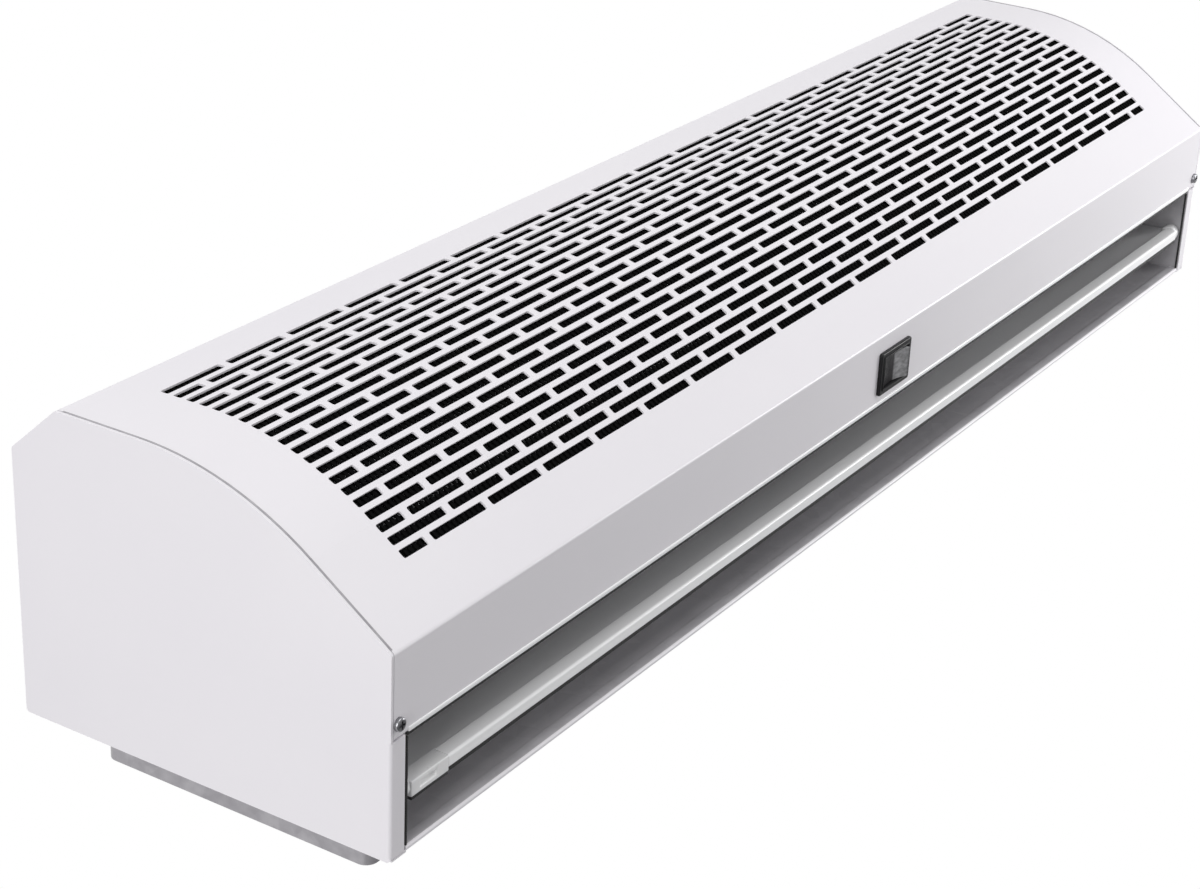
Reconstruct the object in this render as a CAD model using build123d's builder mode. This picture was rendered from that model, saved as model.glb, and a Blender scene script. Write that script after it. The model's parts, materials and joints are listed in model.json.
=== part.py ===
from build123d import *
from math import acos, asin, atan2, cos, degrees, hypot, pi, radians, sin, sqrt, tan
import os

os.makedirs("parts", exist_ok=True)

# A cross-flow air curtain as it hangs on a wall. X runs along its length, the wall is the plane Y = 0 with
# the room at -Y, and Z is up. The origin is the middle of the four wall holes.
# Places in the cross section are given as a height above the outlet face, "up", and a depth in front of the
# casing's back plane, "out". Millimetres throughout.

# Outside of the casing
LENGTH = 900.0
HEIGHT = 208.0
DEPTH = 158.0
NOSE_OUT = 100.0
FRONT_R = 162.0
FLAT_LOW = 134.7
FLAT_TOP = 181.0
TOP_OUT = 133.4
BEND_R = 2.0

# Sheets and clearances
PANEL_T = 1.5
COVER_T = 1.0
CASING_T = 1.0
DUCT_T = 0.8
SIDE_T = 1.0
RIM_T = 1.0
SEAT_GAP = 0.2
EDGE_GAP = 0.4
RUN_GAP = 0.03
FIT_GAP = 0.02

# Outlet mouth
MOUTH_OUT = 58.5
RIM_W = 8.5
COVER_LIP = 10.0
HEM_L = 6.0
HEM_R = 1.3

# Cover: hook over the top wall, and the slots
COVER_HOOK = 8.0
LEDGE_L = 22.0
ROW_PITCH = 7.3
FIRST_ROW = 34.2
GRILLE_TOP_MARGIN = 20.0
GRILLE_END_MARGIN = 43.6
SLOT_PITCH = 43.0
BRIDGE = 4.2
SLOT_W = 4.5
SLOT_CORNER = 1.0

# Dust screen behind the slots
SCREEN_T = 2.0
SCREEN_RIM = 6.0
SCREEN_RIB = 2.4
SCREEN_BAND = 5
SCREEN_BAYS = 9
SCREEN_CORNER = 1.0

# Wheels, scroll and tongue
AXLE_UP = 118.0
WHEEL_R = 53.0
WHEEL_BORE_R = 42.0
WHEEL_GAP = 5.2
ECCENTRIC = 12.0
SCROLL_START = 1.5
SCROLL_WRAP = 100.0
SCROLL_LIP = 8.0
SCROLL_LIP_R = 1.5
TONGUE_START = 3.0
TONGUE_STRAIGHT = 34.0
TONGUE_GAP = 4.0
TONGUE_ANGLE = 30.0
TONGUE_RETURN = 27.0
TONGUE_RETURN_ANGLE = 34.0
TONGUE_R = 3.0
BLADES = 36
BLADE_T = 0.8
BLADE_EDGE = 0.5
BLADE_OUT_ANGLE = 28.0
DISC_T = 1.5
RINGS = 3
RING_BORE_R = 40.5
WHEEL_END_ROOM = 5.6

# Hubs and end shafts
SHAFT_R = 5.0
SHAFT_ENGAGED = 10.0
HUB_R = 13.0
HUB_L = 16.0
HUB_NOSE = 7.0
HUB_FLANGE_R = 22.0
HUB_FLANGE_T = 2.0
SET_SCREW_R = 2.0
SET_SCREW_L = 6.0
SET_SCREW_SOCKET_R = 1.1
STUB_R = 4.0
STUB_TAIL = 2.4
STUB_FLANGE_R = 16.0
STUB_FLANGE_T = 2.0
BEARING_R = 11.0
BEARING_W = 7.0
SHIELD_EDGE = 1.5
SHIELD_DEPTH = 0.4
SEAT_R = 18.0
SEAT_GROOVE_R = 15.5
SEAT_W = 9.0

# Motor
CAN_R = 46.0
CAN_HALF = 35.0
CAN_T = 1.5
BELL_T = 3.0
BOSS_R = 13.0
BOSS_L = 12.0
BELL_BORE_R = 6.0
MOTOR_ROOM = 12.0
MOTOR_BEARING_R = 10.0
MOTOR_BEARING_W = 7.0
STATOR_HALF = 20.0
STATOR_BORE_R = 30.0
CORE_GAP = 0.5
CORE_HALF = 21.0
COIL_L = 11.0
COIL_IN_R = 32.0
COIL_OUT_R = 42.0
RUBBER_R = 19.0
RUBBER_W = 9.0
UPRIGHT_OUT_X = 45.0
CRADLE_T = 2.0
CRADLE_HALF_H = 27.0
CRADLE_SHOULDER = 14.0
FOOT_L = 40.0
FOOT_SCREWS_X = 60.0
FOOT_SCREWS_UP = 24.0
CLAMP_R = 27.0
CLAMP_SCREW_UP = 23.0
CLAMP_SCREW_BACK = 8.0

# Louvre
PIVOT_UP = 7.5
PIVOT_OUT = 28.0
PIVOT_R = 3.0
PIN_L = 3.2
BAR_T = 6.6
BAR_FRONT = 1.6
BAR_BACK = 10.5
BAR_R = 1.4
BLADE_END_UP = 48.0
BLADE_END_OUT = 22.5
BLADE_SAG = 1.6
LOUVRE_T = 1.6
GRIP_L = 27.0
GRIP_DROP = 3.0
GRIP_R = 1.2
POCKET_L = 19.0
POCKET_H = 4.4
POCKET_DEPTH = 2.6
KNUCKLE_R = 5.4
KNUCKLE_L = 5.0
CAP_L = 7.0
CAP_EDGE_R = 1.5
BUSH_R = 4.5
BUSH_FLANGE_R = 5.7
BUSH_FLANGE_T = 0.8
LOUVRE_GAP = 0.4

# Rocker switch
SWITCH_X = -2.7
SWITCH_OUT = 78.0
BEZEL_L = 34.6
BEZEL_W = 24.6
BEZEL_T = 2.0
BEZEL_R = 1.5
BEZEL_EDGE_R = 0.8
BODY_L = 30.6
BODY_W = 21.6
BODY_DEPTH = 26.0
WELL_L = 27.2
WELL_W = 17.6
WELL_DEPTH = 15.0
WELL_GAP = 0.3
ROCKER_PIVOT = 3.0
ROCKER_STAND = 2.6
ROCKER_DISH = 2.0
ROCKER_FLOOR = 7.0
ROCKER_TILT = 8.0
TRUNNION_R = 1.5
TRUNNION_L = 1.2
TAB_L = 9.0
TAB_W = 6.3
TAB_T = 0.8
TAB_SPREAD_X = 12.0
TAB_SPREAD_OUT = 8.0
PLUG_L = 24.0
PLUG_W = 14.0
PLUG_H = 10.0
PLUG_LIFT = 1.5

# Screws and rivets
SCREW_OUT = 66.0
SCREW_INSET = 3.5
SCREW_R = 1.7
SCREW_HEAD_R = 3.25
SCREW_HEAD_H = 2.2
SCREW_L = 9.0
M4_R = 2.0
M4_HEAD_R = 3.5
M4_HEAD_H = 2.6
M3_R = 1.5
M3_HEAD_R = 2.8
M3_HEAD_H = 1.9
SCREW_TAIL = 2.0
RECESS_L = 0.62
RECESS_W = 0.16
CROWN = 0.45
RIVET_R = 1.6
RIVET_HEAD_R = 3.0
RIVET_HEAD_H = 0.9
RIVET_BULB_R = 2.4
RIVET_BULB_L = 1.2
RIVET_OUT = (30.0, 100.0)

# Wall plate
PLATE_DEPTH = 10.0
PLATE_T = 1.2
PLATE_LOW = 14.0
PLATE_H = 150.0
PLATE_INSET = 4.0
PLATE_CORNER = 6.0
WALL_HOLE_R = 4.25
WALL_HOLES_X = 700.0
WALL_HOLES_Z = 100.0
HOOK_X = 300.0
HOOK_W = 30.0
HOOK_UP = 148.0
HOOK_REACH = 4.0
HOOK_RISE = 10.0
HOOK_PLAY = 1.0
LOCK_UP = 192.0
LOCK_TAB_W = 26.0
LOCK_TAB_ABOVE = 8.0

# Stays and the electrical pieces under the top wall
STAY_X = (-410.0, -140.0, 140.0, 410.0)
STAY_W = 20.0
STAY_T = 1.0
STAY_FOOT = 10.0
STAY_LAP = 6.0
BLOCK_X = 345.0
BLOCK_OUT = 44.0
BLOCK_L = 50.0
BLOCK_W = 20.0
BLOCK_H = 16.0
BLOCK_WAYS = 5
WAY_PITCH = 9.5
WAY_R = 2.2
WAY_DEPTH = 6.0
WAY_SCREW_R = 2.4
EAR_L = 10.0
EAR_W = 12.0
EAR_T = 2.0
CAPACITOR_X = 225.0
CAPACITOR_L = 37.0
CAPACITOR_W = 26.0
CAPACITOR_H = 16.0
CAPACITOR_EDGE_R = 2.0
STRAP_T = 1.0
GLAND_X = 402.0
GLAND_THREAD_R = 8.0
GLAND_BORE_R = 4.5
GLAND_HEX_R = 12.7
GLAND_HEX_H = 5.0
GLAND_DOME_R = 9.5
GLAND_DOME_H = 8.0
GLAND_DOME_EDGE_R = 3.0
GLAND_INSIDE = 9.0
NUT_H = 4.0
LOOM_R = 3.0
LOOM_BEND = 36.0
LOOM_LOW = 22.0
LOOM_SIDE_OUT = 140.0
LEAD_R = 2.5
LEAD_ANGLE = 150.0
LEAD_REACH = 78.0
CAP_LEAD_R = 1.25
CLIP_T = 1.0
CLIP_W = 8.0
CLIP_EAR = 5.0
LOOM_CLIP_X = (150.0, 290.0)
LOOM_CLIP_UP = 140.0
LEAD_CLIP_X = (90.0, 210.0)

DOWN = (0, 0, -1)
FRONT = (0, -1, 0)
TOP = (0, 0, 1)

# Places worked out from the sizes above
IN_X = LENGTH / 2 - PANEL_T
SIDE_IN_X = IN_X - RIM_W - EDGE_GAP - SIDE_T
SIDE_MID_X = SIDE_IN_X + SIDE_T / 2
COVER_X = IN_X - EDGE_GAP
PATTERN_UP = PLATE_LOW + PLATE_H / 2
PLATE_L = LENGTH - 2 * PLATE_INSET
TOP_IN = HEIGHT - CASING_T
TOP_END = TOP_OUT - COVER_HOOK - SEAT_GAP
LEDGE_OUT = TOP_OUT - BEND_R - LEDGE_L / 2
HEM_OUT = 2 * CASING_T + DUCT_T
MOUTH_LOW = CASING_T + SEAT_GAP
MOUTH_HIGH = MOUTH_OUT - SEAT_GAP
RIM_INSET = COVER_T + SEAT_GAP
SCREW_X = IN_X - SCREW_INSET
RIVET_X = IN_X - RIM_W / 2
DUCT_FACE = CASING_T + DUCT_T
SCROLL_UP = AXLE_UP - ECCENTRIC
SCROLL_R = WHEEL_R + WHEEL_GAP + ECCENTRIC
AXLE_OUT = DUCT_FACE + SCROLL_R
TONGUE_OUT = MOUTH_OUT + COVER_T + EDGE_GAP
BELL_END = CAN_HALF + BELL_T + BOSS_L
WHEEL_START = BELL_END + MOTOR_ROOM
WHEEL_END = SIDE_IN_X - STUB_FLANGE_T - WHEEL_END_ROOM
HUB_START = WHEEL_START - HUB_FLANGE_T - HUB_NOSE
SHAFT_END = WHEEL_START + SHAFT_ENGAGED
STUB_END = SIDE_MID_X + BEARING_W / 2 + STUB_TAIL
UPRIGHT_IN_X = UPRIGHT_OUT_X - CRADLE_T
CRADLE_UP = SCROLL_UP - FOOT_L / 2
CLAMP_SCREW_OUT = AXLE_OUT - CLAMP_SCREW_BACK
CLAMP_HEAD_X = UPRIGHT_OUT_X + CRADLE_T
BLADE_X = SIDE_IN_X - LOUVRE_GAP
GRIP_X = BLADE_X - KNUCKLE_L - GRIP_L / 2
CAP_X = BLADE_X - CAP_L
BAR_MID_UP = (BAR_FRONT + BAR_BACK) / 2
BAR_H = BAR_BACK - BAR_FRONT
BAR_TOP_OUT = PIVOT_OUT + BAR_T / 2
GRIP_H = BAR_T + GRIP_DROP
GRIP_OUT = PIVOT_OUT - GRIP_DROP / 2
ROCKER_W = WELL_W - 2 * WELL_GAP
ROCKER_R = WELL_L / 2 - WELL_GAP
PLUG_LOW = BODY_DEPTH + PLUG_LIFT
HOOK_SLOT_H = HOOK_RISE + PLATE_T + 2 * HOOK_PLAY
HOOK_OUT = CASING_T + HOOK_REACH
STAY_OUT = AXLE_OUT - SCROLL_R * cos(radians(SCROLL_WRAP))
LIP_UP = SCROLL_UP + SCROLL_R * sin(radians(SCROLL_WRAP)) + SCROLL_LIP
BLOCK_EAR_X = BLOCK_L / 2 + EAR_L / 2
STRAP_EAR_X = CAPACITOR_L / 2 + STRAP_T + EAR_L / 2
FIXINGS = {
    BLOCK_X - BLOCK_EAR_X: EAR_T,
    BLOCK_X + BLOCK_EAR_X: EAR_T,
    CAPACITOR_X - STRAP_EAR_X: STRAP_T,
    CAPACITOR_X + STRAP_EAR_X: STRAP_T,
}
LOOM_OUT = TONGUE_OUT + DUCT_T + LOOM_R
LOOM_SIDE_X = SIDE_IN_X - LOOM_R
LEAD_UP = TOP_IN - CASING_T - LEAD_R
CAP_LEAD_OUT = BLOCK_OUT + EAR_W / 2 + EDGE_GAP + CAP_LEAD_R
BLOCK_UP = TOP_IN - BLOCK_H / 2
BLOCK_FRONT = BLOCK_OUT + BLOCK_W / 2

# The cover's front: a straight slope tangent to a round that runs into the front flat
ROUND_OUT = DEPTH - FRONT_R
NOSE_DROP = NOSE_OUT - ROUND_OUT
SLOPE = asin(FRONT_R / hypot(FLAT_LOW, NOSE_DROP)) - atan2(NOSE_DROP, FLAT_LOW)
SLOPE_RUN = FLAT_LOW * cos(SLOPE) - NOSE_DROP * sin(SLOPE)
ROUND_RUN = FRONT_R * SLOPE
GRILLE_RUN = SLOPE_RUN + ROUND_RUN + FLAT_TOP - FLAT_LOW - GRILLE_TOP_MARGIN
ROWS = int((GRILLE_RUN - FIRST_ROW) / ROW_PITCH) + 1
SLOTS = round((LENGTH - 2 * GRILLE_END_MARGIN + BRIDGE) / SLOT_PITCH)

# The dust screen's windows: bands of slot rows along the front, and bays along the length
WINDOW_RUN = SCREEN_BAND * ROW_PITCH
WINDOWS_LOW = FIRST_ROW - ROW_PITCH / 2
WINDOW_BANDS = ROWS // SCREEN_BAND
SCREEN_LOW = WINDOWS_LOW - SCREEN_RIM
SCREEN_HIGH = WINDOWS_LOW + WINDOW_BANDS * WINDOW_RUN + SCREEN_RIM
WINDOW_L = (SLOTS * SLOT_PITCH + SCREEN_RIB) / SCREEN_BAYS
SCREEN_X = SCREEN_BAYS * WINDOW_L / 2 + SCREEN_RIM

# The wheels' blades: arcs that start radially at the bore and meet the rim at the outlet angle
BLADE_TIP_R = WHEEL_R - BLADE_EDGE
BLADE_R = (BLADE_TIP_R**2 - WHEEL_BORE_R**2) / (2 * BLADE_TIP_R * cos(radians(BLADE_OUT_ANGLE)))
BLADE_CENTRE_R = hypot(WHEEL_BORE_R, BLADE_R)
BLADE_REACH = (BLADE_TIP_R**2 - BLADE_CENTRE_R**2 - BLADE_R**2) / (2 * BLADE_R * BLADE_CENTRE_R)
BLADE_SWEEP = 90 + degrees(atan2(BLADE_R, WHEEL_BORE_R) - acos(BLADE_REACH))


def at(up, out):
    """Section point (Y, Z) for a height above the outlet face and a depth in front of the casing's back."""
    return (-PLATE_DEPTH - out, up - PATTERN_UP)


def place(x, up, out):
    """Point of the machine for a section place at x."""
    return (x, *at(up, out))


def section(x):
    """Section plane across the length, looking along +X."""
    return Plane.YZ.offset(x)


def shaft_plane(x, up, out, sense=1):
    """Section plane at x whose origin is on a shaft's axis, facing along +X or, with sense -1, -X."""
    return Plane(origin=place(x, up, out), x_dir=(0, sense, 0), z_dir=(sense, 0, 0))


def facing(x, up, out, normal):
    """Plane through a place on the machine, facing down, to the front or up."""
    return Plane(origin=place(x, up, out), x_dir=(1, 0, 0), z_dir=normal)


def front_point(run):
    """Height, depth and slope of the cover's front at a run along it from its lower fold."""
    if run < SLOPE_RUN:
        return (run * cos(SLOPE), NOSE_OUT + run * sin(SLOPE), SLOPE)
    if run < SLOPE_RUN + ROUND_RUN:
        angle = SLOPE - (run - SLOPE_RUN) / FRONT_R
        return (FLAT_LOW - FRONT_R * sin(angle), ROUND_OUT + FRONT_R * cos(angle), angle)
    return (FLAT_LOW + run - SLOPE_RUN - ROUND_RUN, DEPTH, 0.0)


def behind_front(run, depth):
    """Section point a depth behind the cover's front, at a run along it from its lower fold."""
    up, out, slope = front_point(run)
    return at(up + depth * sin(slope), out - depth * cos(slope))


def about(angle, radius):
    """Height and depth of a point about the wheels' axis, the angle from straight down towards the front."""
    turn = radians(angle)
    return (AXLE_UP - radius * cos(turn), AXLE_OUT + radius * sin(turn))


def scroll_point(angle):
    """Height and depth of a point on the scroll's round, the angle from the casing's back over the top."""
    turn = radians(angle)
    return (SCROLL_UP + SCROLL_R * sin(turn), AXLE_OUT - SCROLL_R * cos(turn))


def corners_at(builder, points):
    """The builder's corners that lie on the given points."""
    return [
        corner
        for corner in builder.vertices()
        if any(hypot(corner.X - a, corner.Y - b) < 1e-4 for a, b in points)
    ]


def slab(up_low, up_high, out_low, out_high):
    """Add a rectangle to a section sketch, from its limits."""
    with Locations(at((up_low + up_high) / 2, (out_low + out_high) / 2)):
        Rectangle(out_high - out_low, up_high - up_low)


def front_line():
    """Add the cover's front, from its lower fold to the start of the flat, to an open line."""
    slope_top = at(*front_point(SLOPE_RUN)[:2])
    Line(at(0, NOSE_OUT), slope_top)
    ThreePointArc(slope_top, at(*front_point(SLOPE_RUN + ROUND_RUN / 2)[:2]), at(FLAT_LOW, DEPTH))


def outline(plane, inset):
    """The casing's whole cross section, set in by a distance."""
    with BuildSketch(plane) as profile:
        with BuildLine():
            Line(at(0, 0), at(0, NOSE_OUT))
            front_line()
            Polyline(at(FLAT_LOW, DEPTH), at(FLAT_TOP, DEPTH), at(HEIGHT, TOP_OUT), at(HEIGHT, 0), at(0, 0))
        make_face()
        folds = [at(0, 0), at(0, NOSE_OUT), at(FLAT_TOP, DEPTH), at(HEIGHT, TOP_OUT), at(HEIGHT, 0)]
        fillet(corners_at(profile, folds), BEND_R)
        if inset > 0:
            offset(amount=-inset, kind=Kind.INTERSECTION)
    return profile.sketch


def pan_screw(radius, length, head_r, head_h):
    """A pan-head screw with a cross recess, on Z, with the underside of its head at the origin."""
    with BuildPart() as screw:
        Cylinder(head_r, head_h, align=(Align.CENTER, Align.CENTER, Align.MIN))
        fillet(screw.faces().sort_by(Axis.Z)[-1].edges(), head_h * CROWN)
        Cylinder(radius, length, align=(Align.CENTER, Align.CENTER, Align.MAX))
        with BuildSketch(Plane.XY.offset(head_h)):
            Rectangle(2 * head_r * RECESS_L, 2 * head_r * RECESS_W)
            Rectangle(2 * head_r * RECESS_W, 2 * head_r * RECESS_L)
        extrude(amount=-head_h / 2, mode=Mode.SUBTRACT)
    return screw.part


def bearing(inner_r, outer_r, width):
    """A shielded ball bearing, on Z, with one face at the origin."""
    with BuildPart() as race:
        Cylinder(outer_r, width, align=(Align.CENTER, Align.CENTER, Align.MIN))
        with BuildSketch(Plane.XY, Plane.XY.offset(width)):
            Circle(outer_r - SHIELD_EDGE)
            Circle(inner_r + SHIELD_EDGE, mode=Mode.SUBTRACT)
        extrude(amount=SHIELD_DEPTH, both=True, mode=Mode.SUBTRACT)
        with Locations((0, 0, width / 2)):
            Cylinder(inner_r, width, mode=Mode.SUBTRACT)
    return race.part


def saddle_clip(plane, radius):
    """A cable saddle's section: its origin is the cable's middle, and the wall lies a cable radius below."""
    with BuildSketch(plane) as clip:
        Circle(radius + CLIP_T)
        with Locations((0, CLIP_T / 2 - radius)):
            Rectangle(2 * (radius + CLIP_T + CLIP_EAR), CLIP_T)
        with Locations((0, -radius / 2)):
            Rectangle(2 * (radius + CLIP_T), radius)
            Rectangle(2 * (radius + FIT_GAP), radius, mode=Mode.SUBTRACT)
        Circle(radius + FIT_GAP, mode=Mode.SUBTRACT)
        with Locations((0, -2 * radius)):
            Rectangle(4 * (radius + CLIP_T + CLIP_EAR), 2 * radius, mode=Mode.SUBTRACT)
    return clip.sketch


def corner_radii(points, largest):
    """Arc radii for a cable's corners: as large as the runs beside each corner allow, up to a limit."""
    radii = []
    for before, corner, after in zip(points, points[1:], points[2:]):
        first = Vector(*corner) - Vector(*before)
        second = Vector(*after) - Vector(*corner)
        room = 0.45 * min(first.length, second.length) / tan(radians(first.get_angle(second)) / 2)
        radii.append(min(largest, room))
    return radii


def finish(name, piece):
    """Label a finished piece and write it."""
    piece.part.label = name
    export_step(piece.part, f"parts/{name}.step")


cover_screw = pan_screw(SCREW_R, SCREW_L, SCREW_HEAD_R, SCREW_HEAD_H)
lock_screw = pan_screw(M4_R, CASING_T + PLATE_T + SCREW_TAIL, M4_HEAD_R, M4_HEAD_H)
cradle_screw = pan_screw(M4_R, CRADLE_T + DUCT_FACE + SCREW_TAIL, M4_HEAD_R, M4_HEAD_H)
clamp_screw = pan_screw(M4_R, 2 * CRADLE_T + SCREW_TAIL, M4_HEAD_R, M4_HEAD_H)


# Rear casing: back wall and top wall in one sheet, a ledge under the cover's hook, a hem along the mouth
with BuildPart() as rear_casing:
    with BuildSketch(section(0)):
        with BuildLine() as wall_line:
            Polyline(at(HEM_L, 0), at(HEIGHT, 0), at(HEIGHT, TOP_END))
            fillet(corners_at(wall_line, [at(HEIGHT, 0)]), BEND_R)
            offset(amount=CASING_T, side=Side.LEFT)
        make_face()
    extrude(amount=IN_X, both=True)
    with BuildSketch(section(0)):
        with BuildLine() as hem_line:
            Polyline(at(HEM_L, 0), at(0, 0), at(0, HEM_OUT), at(HEM_L, HEM_OUT))
            fillet(corners_at(hem_line, [at(0, 0), at(0, HEM_OUT)]), HEM_R)
            offset(amount=CASING_T, side=Side.RIGHT)
        make_face()
        slab(TOP_IN - CASING_T, TOP_IN, LEDGE_OUT - LEDGE_L / 2, LEDGE_OUT + LEDGE_L / 2)
    extrude(amount=SIDE_IN_X, both=True)
    with BuildSketch(facing(0, HEM_L / 2, 0, FRONT)):
        with GridLocations(IN_X + SIDE_IN_X, 1, 2, 1):
            Rectangle(IN_X - SIDE_IN_X, HEM_L)
    extrude(amount=CASING_T)
    with BuildSketch(facing(0, HOOK_UP + PLATE_T - HOOK_SLOT_H / 2, 0, FRONT)):
        with GridLocations(2 * HOOK_X, 1, 2, 1):
            Rectangle(HOOK_W + 2 * HOOK_PLAY, HOOK_SLOT_H)
    with BuildSketch(facing(0, LOCK_UP, 0, FRONT)):
        with GridLocations(2 * HOOK_X, 1, 2, 1):
            Circle(M4_R + SEAT_GAP)
    with BuildSketch(facing(0, CRADLE_UP, 0, FRONT)):
        with GridLocations(FOOT_SCREWS_X, FOOT_SCREWS_UP, 2, 2):
            Circle(M4_R + FIT_GAP)
    extrude(amount=CASING_T, mode=Mode.SUBTRACT)
    with BuildSketch(facing(0, HEIGHT, 0, TOP)):
        with Locations((GLAND_X, -BLOCK_OUT)):
            Circle(GLAND_THREAD_R + FIT_GAP)
        with Locations(*[(x, -BLOCK_OUT) for x in FIXINGS]):
            Circle(M3_R + FIT_GAP)
        with Locations(*[(side * RIVET_X, -out) for side in (-1, 1) for out in RIVET_OUT]):
            Circle(RIVET_R + FIT_GAP)
    extrude(amount=-CASING_T, mode=Mode.SUBTRACT)
finish("rear_casing", rear_casing)

# End panels: plate with the casing's outline, a rim the casing is fixed to, and a flange beside the mouth
with BuildPart() as end_panel_right:
    extrude(to_extrude=outline(section(IN_X), 0), amount=PANEL_T)
    with BuildSketch(section(IN_X)):
        slab(0, 2 * BEND_R, MOUTH_LOW, MOUTH_HIGH)
    extrude(amount=PANEL_T, mode=Mode.SUBTRACT)
    rim = outline(section(IN_X), RIM_INSET) - outline(section(IN_X), RIM_INSET + RIM_T)
    extrude(to_extrude=rim, amount=-RIM_W)
    with BuildSketch(section(IN_X)):
        slab(0, 2 * BEND_R, 0, MOUTH_HIGH)
    extrude(amount=-RIM_W, mode=Mode.SUBTRACT)
    with BuildSketch(Plane(origin=(0, *at(0, MOUTH_LOW)), x_dir=(1, 0, 0), z_dir=FRONT)):
        with BuildLine() as flange_line:
            Polyline((LENGTH / 2, 2 * BEND_R), (LENGTH / 2, 0), (IN_X - RIM_W, 0))
            fillet(corners_at(flange_line, [(LENGTH / 2, 0)]), BEND_R)
            offset(amount=PANEL_T, side=Side.RIGHT)
        make_face()
    extrude(amount=MOUTH_HIGH - MOUTH_LOW)
    with BuildSketch(facing(SCREW_X, 0, SCREW_OUT, DOWN)):
        Circle(SCREW_R + FIT_GAP)
    extrude(amount=-2 * RIM_INSET - RIM_T, mode=Mode.SUBTRACT)
    with BuildSketch(facing(0, HEIGHT, 0, TOP)):
        with Locations(*[(RIVET_X, -out) for out in RIVET_OUT]):
            Circle(RIVET_R + FIT_GAP)
    extrude(amount=-2 * RIM_INSET - RIM_T, mode=Mode.SUBTRACT)
finish("end_panel_right", end_panel_right)

with BuildPart() as end_panel_left:
    mirror(end_panel_right.part, about=Plane.YZ)
finish("end_panel_left", end_panel_left)

# Front cover: one sheet folded from the mouth's lip to the hook over the top wall, with the slots
with BuildPart() as front_cover:
    with BuildSketch(section(0)):
        with BuildLine() as cover_line:
            Polyline(at(COVER_LIP, MOUTH_OUT), at(0, MOUTH_OUT), at(0, NOSE_OUT))
            front_line()
            Polyline(
                at(FLAT_LOW, DEPTH),
                at(FLAT_TOP, DEPTH),
                at(HEIGHT, TOP_OUT),
                at(HEIGHT, TOP_OUT - COVER_HOOK),
            )
            folds = [at(0, MOUTH_OUT), at(0, NOSE_OUT), at(FLAT_TOP, DEPTH), at(HEIGHT, TOP_OUT)]
            fillet(corners_at(cover_line, folds), BEND_R)
            offset(amount=COVER_T, side=Side.RIGHT)
        make_face()
    extrude(amount=COVER_X, both=True)
    with BuildSketch(section(SIDE_IN_X - EDGE_GAP), section(-COVER_X)):
        slab(COVER_T, COVER_LIP + COVER_T, MOUTH_OUT - COVER_T, TONGUE_OUT + COVER_T)
    extrude(amount=COVER_X - SIDE_IN_X + EDGE_GAP, mode=Mode.SUBTRACT)
    for row in range(ROWS):
        up, out, slope = front_point(FIRST_ROW + row * ROW_PITCH)
        with BuildSketch(facing(0, up, out, (0, -cos(slope), -sin(slope)))):
            with GridLocations(SLOT_PITCH, 1, SLOTS - 1 + row % 2, 1):
                RectangleRounded(SLOT_PITCH - BRIDGE, SLOT_W, SLOT_CORNER)
            if row % 2 == 0:
                with GridLocations(SLOT_PITCH * (SLOTS - 0.5), 1, 2, 1):
                    RectangleRounded(SLOT_PITCH / 2 - BRIDGE, SLOT_W, SLOT_CORNER)
    extrude(amount=2 * COVER_T, both=True, mode=Mode.SUBTRACT)
    with BuildSketch(facing(0, 0, 0, DOWN)):
        with Locations((SWITCH_X, SWITCH_OUT)):
            Rectangle(BODY_L + EDGE_GAP, BODY_W + EDGE_GAP)
        with Locations((-SCREW_X, SCREW_OUT), (SCREW_X, SCREW_OUT)):
            Circle(SCREW_R + SEAT_GAP)
    extrude(amount=-COVER_T, mode=Mode.SUBTRACT)
finish("front_cover", front_cover)

# Dust screen's frame: a moulded grid bonded behind the slots, with a window for each bay and band of rows
with BuildPart() as screen_frame:
    with BuildSketch(section(0)):
        with BuildLine():
            for depth in (RIM_INSET, RIM_INSET + SCREEN_T):
                slope_top = behind_front(SLOPE_RUN, depth)
                round_top = behind_front(SLOPE_RUN + ROUND_RUN, depth)
                Line(behind_front(SCREEN_LOW, depth), slope_top)
                ThreePointArc(slope_top, behind_front(SLOPE_RUN + ROUND_RUN / 2, depth), round_top)
                Line(round_top, behind_front(SCREEN_HIGH, depth))
            for run in (SCREEN_LOW, SCREEN_HIGH):
                Line(behind_front(run, RIM_INSET), behind_front(run, RIM_INSET + SCREEN_T))
        make_face()
    extrude(amount=SCREEN_X, both=True)
    for band in range(WINDOW_BANDS):
        up, out, slope = front_point(WINDOWS_LOW + (band + 0.5) * WINDOW_RUN)
        with BuildSketch(facing(0, up, out, (0, -cos(slope), -sin(slope)))):
            with GridLocations(WINDOW_L, 1, SCREEN_BAYS, 1):
                RectangleRounded(WINDOW_L - SCREEN_RIB, WINDOW_RUN - SCREEN_RIB, SCREEN_CORNER)
    extrude(amount=-2 * (RIM_INSET + SCREEN_T), mode=Mode.SUBTRACT)
finish("screen_frame", screen_frame)

# Side plates: they close the duct's ends and carry the wheels' bearings and the louvre's bushes
with BuildPart() as side_plate_right:
    extrude(to_extrude=outline(section(SIDE_IN_X), RIM_INSET), amount=SIDE_T)
    with BuildSketch(shaft_plane(SIDE_IN_X, AXLE_UP, AXLE_OUT)):
        Circle(SEAT_GROOVE_R + FIT_GAP)
    with BuildSketch(shaft_plane(SIDE_IN_X, PIVOT_UP, PIVOT_OUT)):
        Circle(BUSH_R + FIT_GAP)
    extrude(amount=SIDE_T, mode=Mode.SUBTRACT)
finish("side_plate_right", side_plate_right)

with BuildPart() as side_plate_left:
    mirror(side_plate_right.part, about=Plane.YZ)
finish("side_plate_left", side_plate_left)

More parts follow.
